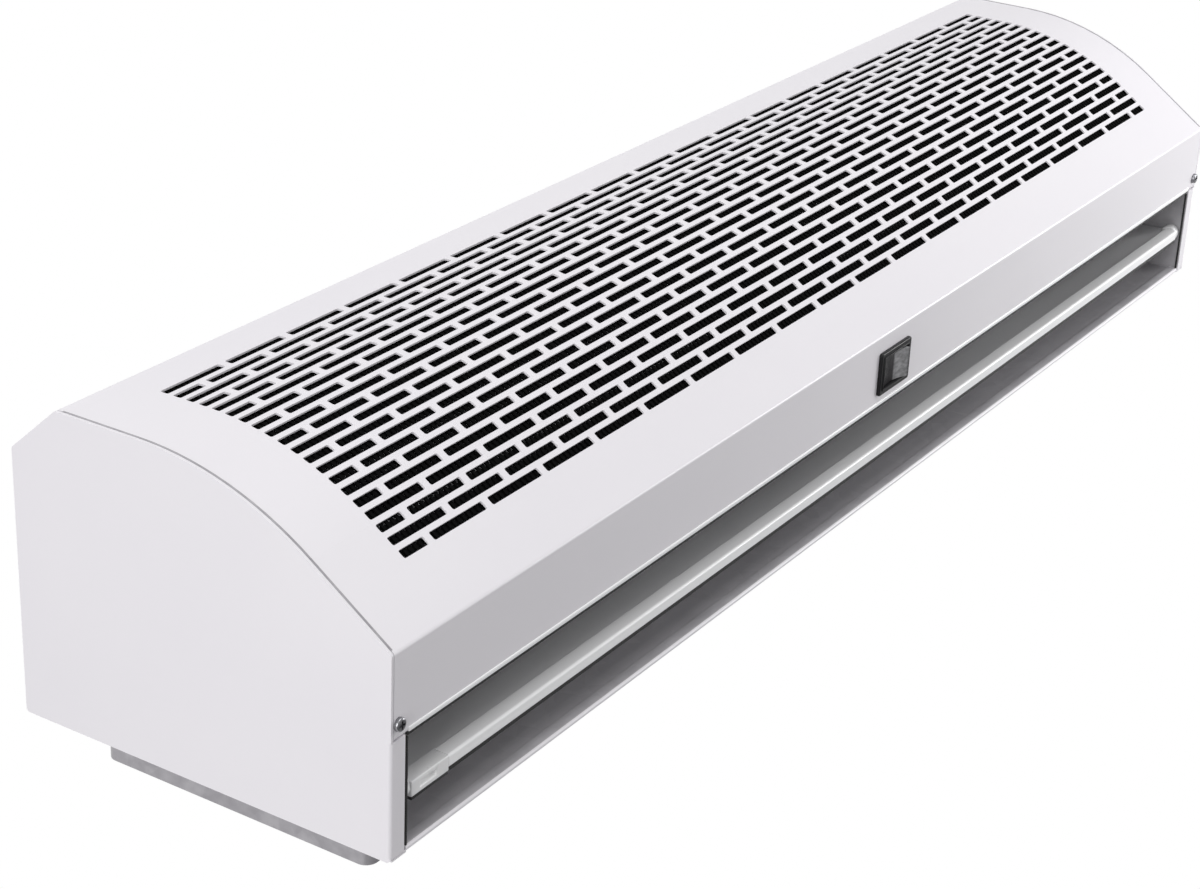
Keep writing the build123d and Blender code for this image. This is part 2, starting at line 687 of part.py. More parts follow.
# Scroll wall: the duct's back, up from the hem and round over the wheels to a lip
with BuildPart() as scroll_wall:
    with BuildSketch(section(0)):
        with BuildLine() as scroll_line:
            round_end = at(*scroll_point(SCROLL_WRAP))
            Line(at(SCROLL_START, DUCT_FACE), at(*scroll_point(0)))
            ThreePointArc(at(*scroll_point(0)), at(*scroll_point(SCROLL_WRAP / 2)), round_end)
            Line(round_end, at(LIP_UP, STAY_OUT))
            fillet(corners_at(scroll_line, [round_end]), SCROLL_LIP_R)
            offset(amount=DUCT_T, side=Side.RIGHT)
        make_face()
    extrude(amount=SIDE_IN_X, both=True)
    with BuildSketch(facing(0, CRADLE_UP, 0, FRONT)):
        with GridLocations(FOOT_SCREWS_X, FOOT_SCREWS_UP, 2, 2):
            Circle(M4_R + FIT_GAP)
    extrude(amount=2 * DUCT_FACE, mode=Mode.SUBTRACT)
finish("scroll_wall", scroll_wall)

# Tongue plate: the duct's front, from the cover's lip up to a nose close to the wheels
with BuildPart() as tongue_plate:
    with BuildSketch(section(0)):
        with BuildLine() as tongue_line:
            nose_up, nose_out = about(TONGUE_ANGLE, WHEEL_R + TONGUE_GAP)
            turn = radians(TONGUE_RETURN_ANGLE)
            tongue_folds = [at(TONGUE_STRAIGHT, TONGUE_OUT), at(nose_up, nose_out)]
            Polyline(
                at(TONGUE_START, TONGUE_OUT),
                *tongue_folds,
                at(nose_up - TONGUE_RETURN * cos(turn), nose_out + TONGUE_RETURN * sin(turn)),
            )
            fillet(corners_at(tongue_line, tongue_folds), TONGUE_R)
            offset(amount=DUCT_T, side=Side.LEFT)
        make_face()
    extrude(amount=SIDE_IN_X, both=True)
finish("tongue_plate", tongue_plate)

# Scroll stays: angles that hang the scroll's lip from the top wall
with BuildPart() as scroll_stays:
    with BuildSketch(section(-STAY_W / 2)):
        with BuildLine() as stay_line:
            Polyline(at(LIP_UP - STAY_LAP, STAY_OUT), at(TOP_IN, STAY_OUT), at(TOP_IN, STAY_OUT + STAY_FOOT))
            fillet(corners_at(stay_line, [at(TOP_IN, STAY_OUT)]), BEND_R)
            offset(amount=STAY_T, side=Side.LEFT)
        make_face()
    stay = extrude(amount=STAY_W, mode=Mode.PRIVATE)
    with Locations(*[(x, 0, 0) for x in STAY_X]):
        add(stay)
finish("scroll_stays", scroll_stays)

# Wall plate: a shallow tray screwed to the wall, with hooks for the casing and tabs that lock it
with BuildPart() as wall_plate:
    with BuildSketch(Plane.XZ):
        RectangleRounded(PLATE_L, PLATE_H, PLATE_CORNER)
    extrude(amount=PLATE_DEPTH)
    with BuildSketch(Plane.XZ.offset(PLATE_T)):
        RectangleRounded(PLATE_L - 2 * PLATE_T, PLATE_H - 2 * PLATE_T, PLATE_CORNER - PLATE_T)
    extrude(amount=PLATE_DEPTH, mode=Mode.SUBTRACT)
    with BuildSketch(Plane.XZ):
        with GridLocations(WALL_HOLES_X, WALL_HOLES_Z, 2, 2):
            Circle(WALL_HOLE_R)
    extrude(amount=PLATE_T, mode=Mode.SUBTRACT)
    with BuildSketch(section(HOOK_X - HOOK_W / 2), section(-HOOK_X - HOOK_W / 2)):
        with BuildLine() as hook_line:
            hook_end = at(HOOK_UP, HOOK_OUT)
            Polyline(at(HOOK_UP, PLATE_T - PLATE_DEPTH), hook_end, at(HOOK_UP + HOOK_RISE, HOOK_OUT))
            fillet(corners_at(hook_line, [hook_end]), BEND_R)
            offset(amount=PLATE_T, side=Side.RIGHT)
        make_face()
    extrude(amount=HOOK_W)
    with BuildSketch(facing(0, LOCK_UP, 0, FRONT)):
        tab_low = PLATE_LOW + PLATE_H - PLATE_T - LOCK_UP
        with Locations((-HOOK_X, tab_low), (HOOK_X, tab_low)):
            Rectangle(LOCK_TAB_W, LOCK_TAB_ABOVE - tab_low, align=(Align.CENTER, Align.MIN))
        with Locations((-HOOK_X, 0), (HOOK_X, 0)):
            Circle(M4_R + FIT_GAP, mode=Mode.SUBTRACT)
    extrude(amount=-PLATE_T)
finish("wall_plate", wall_plate)

with BuildPart() as locking_screws:
    with Locations(*[facing(side * HOOK_X, LOCK_UP, CASING_T, FRONT) for side in (-1, 1)]):
        add(lock_screw)
finish("locking_screws", locking_screws)

with BuildPart() as cover_screws:
    with Locations(*[facing(side * SCREW_X, 0, SCREW_OUT, DOWN) for side in (-1, 1)]):
        add(cover_screw)
finish("cover_screws", cover_screws)

# Wheels: long arc blades between an inner disc, stiffening rings and an outer disc
blade_line = CenterArc((WHEEL_BORE_R, BLADE_R), BLADE_R, -90, BLADE_SWEEP)
with BuildPart() as impeller_right:
    with BuildSketch(shaft_plane(WHEEL_START, AXLE_UP, AXLE_OUT)):
        with PolarLocations(0, BLADES):
            SlotArc(blade_line, BLADE_T)
    extrude(amount=WHEEL_END - WHEEL_START)
    with BuildSketch(shaft_plane(WHEEL_START, AXLE_UP, AXLE_OUT)):
        Circle(WHEEL_R)
        Circle(HUB_R + FIT_GAP, mode=Mode.SUBTRACT)
    with BuildSketch(shaft_plane(WHEEL_END - DISC_T, AXLE_UP, AXLE_OUT)):
        Circle(WHEEL_R)
    ring_pitch = (WHEEL_END - WHEEL_START - DISC_T) / (RINGS + 1)
    for ring in range(1, RINGS + 1):
        with BuildSketch(shaft_plane(WHEEL_START + ring * ring_pitch, AXLE_UP, AXLE_OUT)):
            Circle(WHEEL_R)
            Circle(RING_BORE_R, mode=Mode.SUBTRACT)
    extrude(amount=DISC_T)
finish("impeller_right", impeller_right)

with BuildPart() as impeller_left:
    mirror(impeller_right.part, about=Plane.YZ)
finish("impeller_left", impeller_left)

# Hubs: bosses on the motor's shaft whose flanges carry the wheels, each held by a set screw
with BuildPart() as wheel_hubs:
    with BuildSketch(shaft_plane(HUB_START, AXLE_UP, AXLE_OUT)):
        Circle(HUB_R)
        Circle(SHAFT_R + FIT_GAP, mode=Mode.SUBTRACT)
    extrude(amount=HUB_L)
    with BuildSketch(shaft_plane(WHEEL_START - HUB_FLANGE_T, AXLE_UP, AXLE_OUT)):
        Circle(HUB_FLANGE_R)
        Circle(HUB_R - HUB_FLANGE_T, mode=Mode.SUBTRACT)
    extrude(amount=HUB_FLANGE_T)
    with BuildSketch(facing(HUB_START + HUB_NOSE / 2, AXLE_UP, AXLE_OUT, TOP)):
        Circle(SET_SCREW_R + FIT_GAP)
    extrude(amount=HUB_R, mode=Mode.SUBTRACT)
    mirror(about=Plane.YZ)
finish("wheel_hubs", wheel_hubs)

with BuildPart() as hub_setscrews:
    with BuildSketch(facing(HUB_START + HUB_NOSE / 2, AXLE_UP + SHAFT_R + FIT_GAP, AXLE_OUT, TOP)):
        Circle(SET_SCREW_R)
    extrude(amount=SET_SCREW_L)
    with BuildSketch(hub_setscrews.faces().sort_by(Axis.Z)[-1]):
        RegularPolygon(SET_SCREW_SOCKET_R, 6)
    extrude(amount=-SET_SCREW_L / 2, mode=Mode.SUBTRACT)
    mirror(about=Plane.YZ)
finish("hub_setscrews", hub_setscrews)

# End shafts: flanges on the wheels' outer discs, with stubs that run in the end bearings
with BuildPart() as end_shafts:
    with BuildSketch(shaft_plane(WHEEL_END, AXLE_UP, AXLE_OUT)):
        Circle(STUB_FLANGE_R)
    extrude(amount=STUB_FLANGE_T)
    with BuildSketch(shaft_plane(WHEEL_END, AXLE_UP, AXLE_OUT)):
        Circle(STUB_R)
    extrude(amount=STUB_END - WHEEL_END)
    chamfer(end_shafts.edges().filter_by(GeomType.CIRCLE).sort_by(Axis.X)[-1], RIM_T / 2)
    mirror(about=Plane.YZ)
finish("end_shafts", end_shafts)

end_bearing = bearing(STUB_R + RUN_GAP, BEARING_R, BEARING_W)
with BuildPart() as end_bearings:
    with Locations(
        shaft_plane(SIDE_MID_X - BEARING_W / 2, AXLE_UP, AXLE_OUT),
        shaft_plane(BEARING_W / 2 - SIDE_MID_X, AXLE_UP, AXLE_OUT, -1),
    ):
        add(end_bearing)
finish("end_bearings", end_bearings)

# Bearing rubbers: grooved rings that seat the end bearings in the side plates
with BuildPart() as bearing_rubbers:
    with BuildSketch(shaft_plane(SIDE_MID_X - SEAT_W / 2, AXLE_UP, AXLE_OUT)):
        Circle(SEAT_R)
        Circle(BEARING_R + FIT_GAP, mode=Mode.SUBTRACT)
    extrude(amount=SEAT_W)
    with BuildSketch(shaft_plane(SIDE_IN_X, AXLE_UP, AXLE_OUT)):
        Circle(SEAT_R)
        Circle(SEAT_GROOVE_R, mode=Mode.SUBTRACT)
    extrude(amount=SIDE_T, mode=Mode.SUBTRACT)
    mirror(about=Plane.YZ)
finish("bearing_rubbers", bearing_rubbers)

# Motor between the wheels, its shaft out of both ends
with BuildPart() as motor_can:
    with BuildSketch(shaft_plane(0, AXLE_UP, AXLE_OUT)):
        Circle(CAN_R)
        Circle(CAN_R - CAN_T, mode=Mode.SUBTRACT)
    extrude(amount=CAN_HALF, both=True)
finish("motor_can", motor_can)

with BuildPart() as motor_end_bell_right:
    with BuildSketch(shaft_plane(CAN_HALF, AXLE_UP, AXLE_OUT)):
        Circle(CAN_R)
    extrude(amount=BELL_T)
    with BuildSketch(shaft_plane(CAN_HALF, AXLE_UP, AXLE_OUT)):
        Circle(BOSS_R)
    extrude(amount=BELL_T + BOSS_L)
    with BuildSketch(shaft_plane(CAN_HALF, AXLE_UP, AXLE_OUT)):
        Circle(MOTOR_BEARING_R + FIT_GAP)
    extrude(amount=MOTOR_BEARING_W + SHIELD_EDGE / 2, mode=Mode.SUBTRACT)
    with BuildSketch(shaft_plane(CAN_HALF, AXLE_UP, AXLE_OUT)):
        Circle(BELL_BORE_R)
    extrude(amount=BELL_T + BOSS_L, mode=Mode.SUBTRACT)
finish("motor_end_bell_right", motor_end_bell_right)

with BuildPart() as motor_end_bell_left:
    mirror(motor_end_bell_right.part, about=Plane.YZ)
finish("motor_end_bell_left", motor_end_bell_left)

motor_bearing = bearing(SHAFT_R + RUN_GAP, MOTOR_BEARING_R, MOTOR_BEARING_W)
motor_bearing_x = CAN_HALF + SHIELD_EDGE / 2
with BuildPart() as motor_bearings:
    with Locations(
        shaft_plane(motor_bearing_x, AXLE_UP, AXLE_OUT),
        shaft_plane(-motor_bearing_x, AXLE_UP, AXLE_OUT, -1),
    ):
        add(motor_bearing)
finish("motor_bearings", motor_bearings)

with BuildPart() as motor_stator:
    with BuildSketch(shaft_plane(0, AXLE_UP, AXLE_OUT)):
        Circle(CAN_R - CAN_T - FIT_GAP)
        Circle(STATOR_BORE_R, mode=Mode.SUBTRACT)
    extrude(amount=STATOR_HALF, both=True)
finish("motor_stator", motor_stator)

with BuildPart() as motor_windings:
    with BuildSketch(shaft_plane(STATOR_HALF, AXLE_UP, AXLE_OUT)):
        Circle(COIL_OUT_R)
        Circle(COIL_IN_R, mode=Mode.SUBTRACT)
    extrude(amount=COIL_L)
    fillet(motor_windings.edges().filter_by(GeomType.CIRCLE).sort_by(Axis.X)[-2:], COIL_L / 4)
    mirror(about=Plane.YZ)
finish("motor_windings", motor_windings)

with BuildPart() as motor_rotor_core:
    with BuildSketch(shaft_plane(0, AXLE_UP, AXLE_OUT)):
        Circle(STATOR_BORE_R - CORE_GAP)
        Circle(SHAFT_R + FIT_GAP, mode=Mode.SUBTRACT)
    extrude(amount=CORE_HALF, both=True)
finish("motor_rotor_core", motor_rotor_core)

with BuildPart() as motor_shaft:
    with BuildSketch(shaft_plane(0, AXLE_UP, AXLE_OUT)):
        Circle(SHAFT_R)
    extrude(amount=SHAFT_END, both=True)
    chamfer(motor_shaft.edges().filter_by(GeomType.CIRCLE), RIM_T / 2)
finish("motor_shaft", motor_shaft)

with BuildPart() as motor_rubbers:
    with BuildSketch(shaft_plane(CAN_HALF + BELL_T + EDGE_GAP, AXLE_UP, AXLE_OUT)):
        Circle(RUBBER_R)
        Circle(BOSS_R + FIT_GAP, mode=Mode.SUBTRACT)
    extrude(amount=RUBBER_W)
    mirror(about=Plane.YZ)
finish("motor_rubbers", motor_rubbers)

# Motor cradle: a foot on the scroll wall and two uprights that take the motor's rubbers
with BuildPart() as motor_cradle:
    foot_low = CRADLE_UP - FOOT_L / 2
    with BuildSketch(facing(0, CRADLE_UP, DUCT_FACE, FRONT)):
        Rectangle(2 * UPRIGHT_OUT_X, FOOT_L)
        with GridLocations(FOOT_SCREWS_X, FOOT_SCREWS_UP, 2, 2):
            Circle(M4_R + FIT_GAP, mode=Mode.SUBTRACT)
    extrude(amount=CRADLE_T)
    with BuildSketch(section(UPRIGHT_IN_X), section(-UPRIGHT_OUT_X)):
        with BuildLine():
            Polyline(
                at(foot_low, DUCT_FACE),
                at(foot_low + FOOT_L, DUCT_FACE),
                at(AXLE_UP + CRADLE_HALF_H, AXLE_OUT - CRADLE_SHOULDER),
                at(AXLE_UP + CRADLE_HALF_H, AXLE_OUT),
                at(AXLE_UP - CRADLE_HALF_H, AXLE_OUT),
                close=True,
            )
        make_face()
        with Locations(at(AXLE_UP, AXLE_OUT)):
            Circle(RUBBER_R + FIT_GAP, mode=Mode.SUBTRACT)
        with Locations(*[at(AXLE_UP + side * CLAMP_SCREW_UP, CLAMP_SCREW_OUT) for side in (-1, 1)]):
            Circle(M4_R + FIT_GAP, mode=Mode.SUBTRACT)
    extrude(amount=CRADLE_T)
finish("motor_cradle", motor_cradle)

with BuildPart() as motor_clamp_rings:
    with BuildSketch(section(UPRIGHT_OUT_X), section(-UPRIGHT_OUT_X - CRADLE_T)):
        with Locations(at(AXLE_UP, AXLE_OUT)):
            Circle(CLAMP_R)
            Circle(RUBBER_R + FIT_GAP, mode=Mode.SUBTRACT)
        with Locations(*[at(AXLE_UP + side * CLAMP_SCREW_UP, CLAMP_SCREW_OUT) for side in (-1, 1)]):
            Circle(M4_R + FIT_GAP, mode=Mode.SUBTRACT)
    extrude(amount=CRADLE_T)
finish("motor_clamp_rings", motor_clamp_rings)

with BuildPart() as motor_clamp_screws:
    with Locations(
        *[
            shaft_plane(sense * CLAMP_HEAD_X, AXLE_UP + side * CLAMP_SCREW_UP, CLAMP_SCREW_OUT, sense)
            for side in (-1, 1)
            for sense in (-1, 1)
        ]
    ):
        add(clamp_screw)
finish("motor_clamp_screws", motor_clamp_screws)

with BuildPart() as cradle_screws:
    with Locations(facing(0, CRADLE_UP, DUCT_FACE + CRADLE_T, FRONT)):
        with GridLocations(FOOT_SCREWS_X, FOOT_SCREWS_UP, 2, 2):
            add(cradle_screw)
finish("cradle_screws", cradle_screws)

# Louvre: a thin blade as long as the duct is wide, with a thick bar along the mouth
with BuildPart() as louvre_blade:
    with BuildSketch(section(-GRIP_X + GRIP_L / 2)):
        with Locations(at(BAR_MID_UP, PIVOT_OUT)):
            RectangleRounded(BAR_T, BAR_H, BAR_R)
    extrude(amount=CAP_X + GRIP_X - GRIP_L / 2)
    with BuildSketch(section(0)):
        with BuildLine():
            blade_foot = at(BAR_BACK - BAR_R, PIVOT_OUT)
            blade_tip = at(BLADE_END_UP, BLADE_END_OUT)
            blade_middle = at(
                (BAR_BACK - BAR_R + BLADE_END_UP) / 2,
                (PIVOT_OUT + BLADE_END_OUT) / 2 + BLADE_SAG,
            )
            ThreePointArc(blade_foot, blade_middle, blade_tip)
            offset(amount=LOUVRE_T / 2)
        make_face()
    extrude(amount=BLADE_X, both=True)
    with BuildSketch(shaft_plane(-BLADE_X, PIVOT_UP, PIVOT_OUT)):
        Circle(KNUCKLE_R + SEAT_GAP)
    extrude(amount=KNUCKLE_L, mode=Mode.SUBTRACT)
    with BuildSketch(section(-BLADE_X)):
        slab(0, BAR_BACK, PIVOT_OUT - BAR_T, PIVOT_OUT + BAR_T)
    extrude(amount=KNUCKLE_L + GRIP_L, mode=Mode.SUBTRACT)
    with BuildSketch(shaft_plane(CAP_X, PIVOT_UP, PIVOT_OUT)):
        Circle(KNUCKLE_R + SEAT_GAP)
    extrude(amount=CAP_L, mode=Mode.SUBTRACT)
finish("louvre_blade", louvre_blade)

# Louvre grip: the block at the bar's left end with a finger pocket, its knuckle and pin
with BuildPart() as louvre_grip:
    with BuildSketch(section(-GRIP_X - GRIP_L / 2)):
        with Locations(at(BAR_MID_UP, GRIP_OUT)):
            RectangleRounded(GRIP_H, BAR_H, GRIP_R)
    extrude(amount=GRIP_L)
    with BuildSketch(facing(-GRIP_X, BAR_MID_UP, BAR_TOP_OUT, FRONT)):
        RectangleRounded(POCKET_L, POCKET_H, GRIP_R)
    extrude(amount=-POCKET_DEPTH, mode=Mode.SUBTRACT)
    with BuildSketch(shaft_plane(-BLADE_X, PIVOT_UP, PIVOT_OUT)):
        Circle(KNUCKLE_R)
    extrude(amount=KNUCKLE_L)
    with BuildSketch(shaft_plane(-BLADE_X, PIVOT_UP, PIVOT_OUT)):
        Circle(PIVOT_R)
    extrude(amount=-PIN_L)
finish("louvre_grip", louvre_grip)

# Louvre pivot: the round cap at the bar's right end with its pin
with BuildPart() as louvre_pivot:
    with BuildSketch(shaft_plane(CAP_X, PIVOT_UP, PIVOT_OUT)):
        Circle(KNUCKLE_R)
    extrude(amount=CAP_L)
    fillet(louvre_pivot.edges().filter_by(GeomType.CIRCLE).sort_by(Axis.X)[-1], CAP_EDGE_R)
    with BuildSketch(shaft_plane(CAP_X, PIVOT_UP, PIVOT_OUT)):
        Circle(PIVOT_R)
    extrude(amount=CAP_L + PIN_L)
finish("louvre_pivot", louvre_pivot)

with BuildPart() as louvre_bushes:
    with BuildSketch(shaft_plane(SIDE_IN_X, PIVOT_UP, PIVOT_OUT)):
        Circle(BUSH_R)
    extrude(amount=SIDE_T + BUSH_FLANGE_T)
    with BuildSketch(shaft_plane(SIDE_IN_X + SIDE_T, PIVOT_UP, PIVOT_OUT)):
        Circle(BUSH_FLANGE_R)
    extrude(amount=BUSH_FLANGE_T)
    with BuildSketch(shaft_plane(SIDE_IN_X, PIVOT_UP, PIVOT_OUT)):
        Circle(PIVOT_R + RUN_GAP)
    extrude(amount=SIDE_T + BUSH_FLANGE_T, mode=Mode.SUBTRACT)
    mirror(about=Plane.YZ)
finish("louvre_bushes", louvre_bushes)

# Rocker switch: bezel and body in one, with a well for the rocker
with BuildPart() as switch_body:
    with BuildSketch(facing(SWITCH_X, 0, SWITCH_OUT, DOWN)):
        RectangleRounded(BEZEL_L, BEZEL_W, BEZEL_R)
    extrude(amount=BEZEL_T)
    fillet(switch_body.faces().sort_by(Axis.Z)[0].edges(), BEZEL_EDGE_R)
    with BuildSketch(facing(SWITCH_X, 0, SWITCH_OUT, DOWN)):
        Rectangle(BODY_L, BODY_W)
    extrude(amount=-BODY_DEPTH)
    with BuildSketch(facing(SWITCH_X, -BEZEL_T, SWITCH_OUT, DOWN)):
        RectangleRounded(WELL_L, WELL_W, BEZEL_EDGE_R)
    extrude(amount=-WELL_DEPTH, mode=Mode.SUBTRACT)
    with BuildSketch(facing(SWITCH_X, ROCKER_PIVOT, SWITCH_OUT, FRONT)):
        Circle(TRUNNION_R + RUN_GAP)
    extrude(amount=BODY_W / 2, both=True, mode=Mode.SUBTRACT)
finish("switch_body", switch_body)

# Switch rocker: a shallow valley outside, ends that swing about its trunnions, its right end standing out
with BuildPart() as switch_rocker:
    tilt = radians(ROCKER_TILT)
    rocker_plane = Plane(
        origin=place(SWITCH_X, ROCKER_PIVOT, SWITCH_OUT), x_dir=(cos(tilt), 0, -sin(tilt)), z_dir=FRONT
    )
    with BuildSketch(rocker_plane):
        with BuildLine():
            stand = ROCKER_STAND + ROCKER_PIVOT
            floor = ROCKER_FLOOR - ROCKER_PIVOT
            half_top = sqrt(ROCKER_R**2 - stand**2)
            half_floor = sqrt(ROCKER_R**2 - floor**2)
            ThreePointArc((-half_top, -stand), (0, ROCKER_DISH - stand), (half_top, -stand))
            ThreePointArc((half_top, -stand), (ROCKER_R, 0), (half_floor, floor))
            Line((half_floor, floor), (-half_floor, floor))
            ThreePointArc((-half_floor, floor), (-ROCKER_R, 0), (-half_top, -stand))
        make_face()
    extrude(amount=ROCKER_W / 2, both=True)
    with BuildSketch(rocker_plane):
        Circle(TRUNNION_R)
    extrude(amount=ROCKER_W / 2 + TRUNNION_L, both=True)
finish("switch_rocker", switch_rocker)

with BuildPart() as switch_terminals:
    with BuildSketch(facing(SWITCH_X, BODY_DEPTH, SWITCH_OUT, TOP)):
        with GridLocations(TAB_SPREAD_X, TAB_SPREAD_OUT, 2, 2):
            Rectangle(TAB_W, TAB_T)
    extrude(amount=TAB_L)
finish("switch_terminals", switch_terminals)

# Switch plug: the housing pushed over the switch's tabs
with BuildPart() as switch_plug:
    with BuildSketch(facing(SWITCH_X, PLUG_LOW, SWITCH_OUT, TOP)):
        RectangleRounded(PLUG_L, PLUG_W, PLUG_LIFT)
        with GridLocations(TAB_SPREAD_X, TAB_SPREAD_OUT, 2, 2):
            Rectangle(TAB_W + 2 * FIT_GAP, TAB_T + 2 * FIT_GAP, mode=Mode.SUBTRACT)
    extrude(amount=TAB_L - PLUG_LIFT)
    with BuildSketch(facing(SWITCH_X, BODY_DEPTH + TAB_L, SWITCH_OUT, TOP)):
        RectangleRounded(PLUG_L, PLUG_W, PLUG_LIFT)
    extrude(amount=PLUG_H - TAB_L + PLUG_LIFT)
finish("switch_plug", switch_plug)

# Casing rivets: blind rivets through the top wall and the end panels' rims
with BuildPart() as casing_rivets:
    with Locations(*[facing(side * RIVET_X, HEIGHT, out, TOP) for side in (-1, 1) for out in RIVET_OUT]):
        Cylinder(RIVET_HEAD_R, RIVET_HEAD_H, align=(Align.CENTER, Align.CENTER, Align.MIN))
        Cylinder(RIVET_R, RIM_INSET + RIM_T, align=(Align.CENTER, Align.CENTER, Align.MAX))
    with Locations(
        *[
            facing(side * RIVET_X, HEIGHT - RIM_INSET - RIM_T, out, TOP)
            for side in (-1, 1)
            for out in RIVET_OUT
        ]
    ):
        Cylinder(RIVET_BULB_R, RIVET_BULB_L, align=(Align.CENTER, Align.CENTER, Align.MAX))
    crowns = casing_rivets.edges().filter_by(GeomType.CIRCLE).group_by(Axis.Z)[-1]
    fillet(crowns, RIVET_HEAD_H / 2)
finish("casing_rivets", casing_rivets)

# Terminal block under the top wall, with ways towards the front and screws from below
with BuildPart() as terminal_block:
    with BuildSketch(facing(BLOCK_X, TOP_IN, BLOCK_OUT, DOWN)):
        Rectangle(BLOCK_L, BLOCK_W)
    extrude(amount=BLOCK_H)
    with BuildSketch(facing(BLOCK_X, TOP_IN, BLOCK_OUT, DOWN)):
        with GridLocations(2 * BLOCK_EAR_X, 1, 2, 1):
            Rectangle(EAR_L, EAR_W)
            Circle(M3_R + FIT_GAP, mode=Mode.SUBTRACT)
    extrude(amount=EAR_T)
    with BuildSketch(facing(BLOCK_X, BLOCK_UP, BLOCK_FRONT, FRONT)):
        with GridLocations(WAY_PITCH, 1, BLOCK_WAYS, 1):
            Circle(WAY_R)
    extrude(amount=-WAY_DEPTH, mode=Mode.SUBTRACT)
    with BuildSketch(facing(BLOCK_X, TOP_IN - BLOCK_H, BLOCK_OUT, DOWN)):
        with GridLocations(WAY_PITCH, 1, BLOCK_WAYS, 1):
            Circle(WAY_SCREW_R + FIT_GAP)
    extrude(amount=-EAR_T, mode=Mode.SUBTRACT)
finish("terminal_block", terminal_block)

with BuildPart() as terminal_screws:
    with BuildSketch(facing(BLOCK_X, TOP_IN - BLOCK_H + EAR_T, BLOCK_OUT, DOWN)):
        with GridLocations(WAY_PITCH, 1, BLOCK_WAYS, 1):
            Circle(WAY_SCREW_R)
    extrude(amount=EAR_T / 2)
    with BuildSketch(facing(BLOCK_X, TOP_IN - BLOCK_H + EAR_T / 2, BLOCK_OUT, DOWN)):
        with GridLocations(WAY_PITCH, 1, BLOCK_WAYS, 1):
            Rectangle(2 * WAY_SCREW_R, WAY_SCREW_R / 4)
    extrude(amount=-EAR_T / 4, mode=Mode.SUBTRACT)
finish("terminal_screws", terminal_screws)

with BuildPart() as motor_capacitor:
    with BuildSketch(facing(CAPACITOR_X, TOP_IN, BLOCK_OUT, DOWN)):
        RectangleRounded(CAPACITOR_L, CAPACITOR_W, CAPACITOR_EDGE_R)
    extrude(amount=CAPACITOR_H)
finish("motor_capacitor", motor_capacitor)

with BuildPart() as capacitor_strap:
    with BuildSketch(facing(CAPACITOR_X, TOP_IN, BLOCK_OUT - EAR_W / 2, FRONT)):
        strap_half = CAPACITOR_L / 2 + STRAP_T
        Rectangle(2 * strap_half, CAPACITOR_H + STRAP_T, align=(Align.CENTER, Align.MAX))
        Rectangle(2 * strap_half + 2 * EAR_L, STRAP_T, align=(Align.CENTER, Align.MAX))
        Rectangle(CAPACITOR_L, CAPACITOR_H, align=(Align.CENTER, Align.MAX), mode=Mode.SUBTRACT)
    extrude(amount=EAR_W)
    with BuildSketch(facing(CAPACITOR_X, TOP_IN, BLOCK_OUT, DOWN)):
        with GridLocations(2 * STRAP_EAR_X, 1, 2, 1):
            Circle(M3_R + FIT_GAP)
    extrude(amount=STRAP_T, mode=Mode.SUBTRACT)
finish("capacitor_strap", capacitor_strap)

with BuildPart() as fixing_screws:
    for x, ear in FIXINGS.items():
        with Locations(facing(x, TOP_IN - ear, BLOCK_OUT, DOWN)):
            Cylinder(M3_HEAD_R, M3_HEAD_H, align=(Align.CENTER, Align.CENTER, Align.MIN))
            Cylinder(M3_R, ear + CASING_T + SCREW_TAIL / 2, align=(Align.CENTER, Align.CENTER, Align.MAX))
finish("fixing_screws", fixing_screws)

# Cable gland through the top wall for the supply cable, with its nut inside
with BuildPart() as cable_gland:
    with BuildSketch(facing(GLAND_X, HEIGHT - GLAND_INSIDE, BLOCK_OUT, TOP)):
        Circle(GLAND_THREAD_R)
    extrude(amount=GLAND_INSIDE)
    with BuildSketch(facing(GLAND_X, HEIGHT, BLOCK_OUT, TOP)):
        RegularPolygon(GLAND_HEX_R, 6)
    extrude(amount=GLAND_HEX_H)
    with BuildSketch(facing(GLAND_X, HEIGHT + GLAND_HEX_H, BLOCK_OUT, TOP)):
        Circle(GLAND_DOME_R)
    extrude(amount=GLAND_DOME_H)
    fillet(cable_gland.faces().sort_by(Axis.Z)[-1].edges(), GLAND_DOME_EDGE_R)
    with BuildSketch(facing(GLAND_X, HEIGHT - GLAND_INSIDE, BLOCK_OUT, TOP)):
        Circle(GLAND_BORE_R)
    extrude(amount=GLAND_INSIDE + GLAND_HEX_H + GLAND_DOME_H, mode=Mode.SUBTRACT)
finish("cable_gland", cable_gland)

with BuildPart() as gland_nut:
    with BuildSketch(facing(GLAND_X, TOP_IN, BLOCK_OUT, DOWN)):
        RegularPolygon(GLAND_HEX_R, 6)
        Circle(GLAND_THREAD_R + FIT_GAP, mode=Mode.SUBTRACT)
    extrude(amount=NUT_H)
finish("gland_nut", gland_nut)

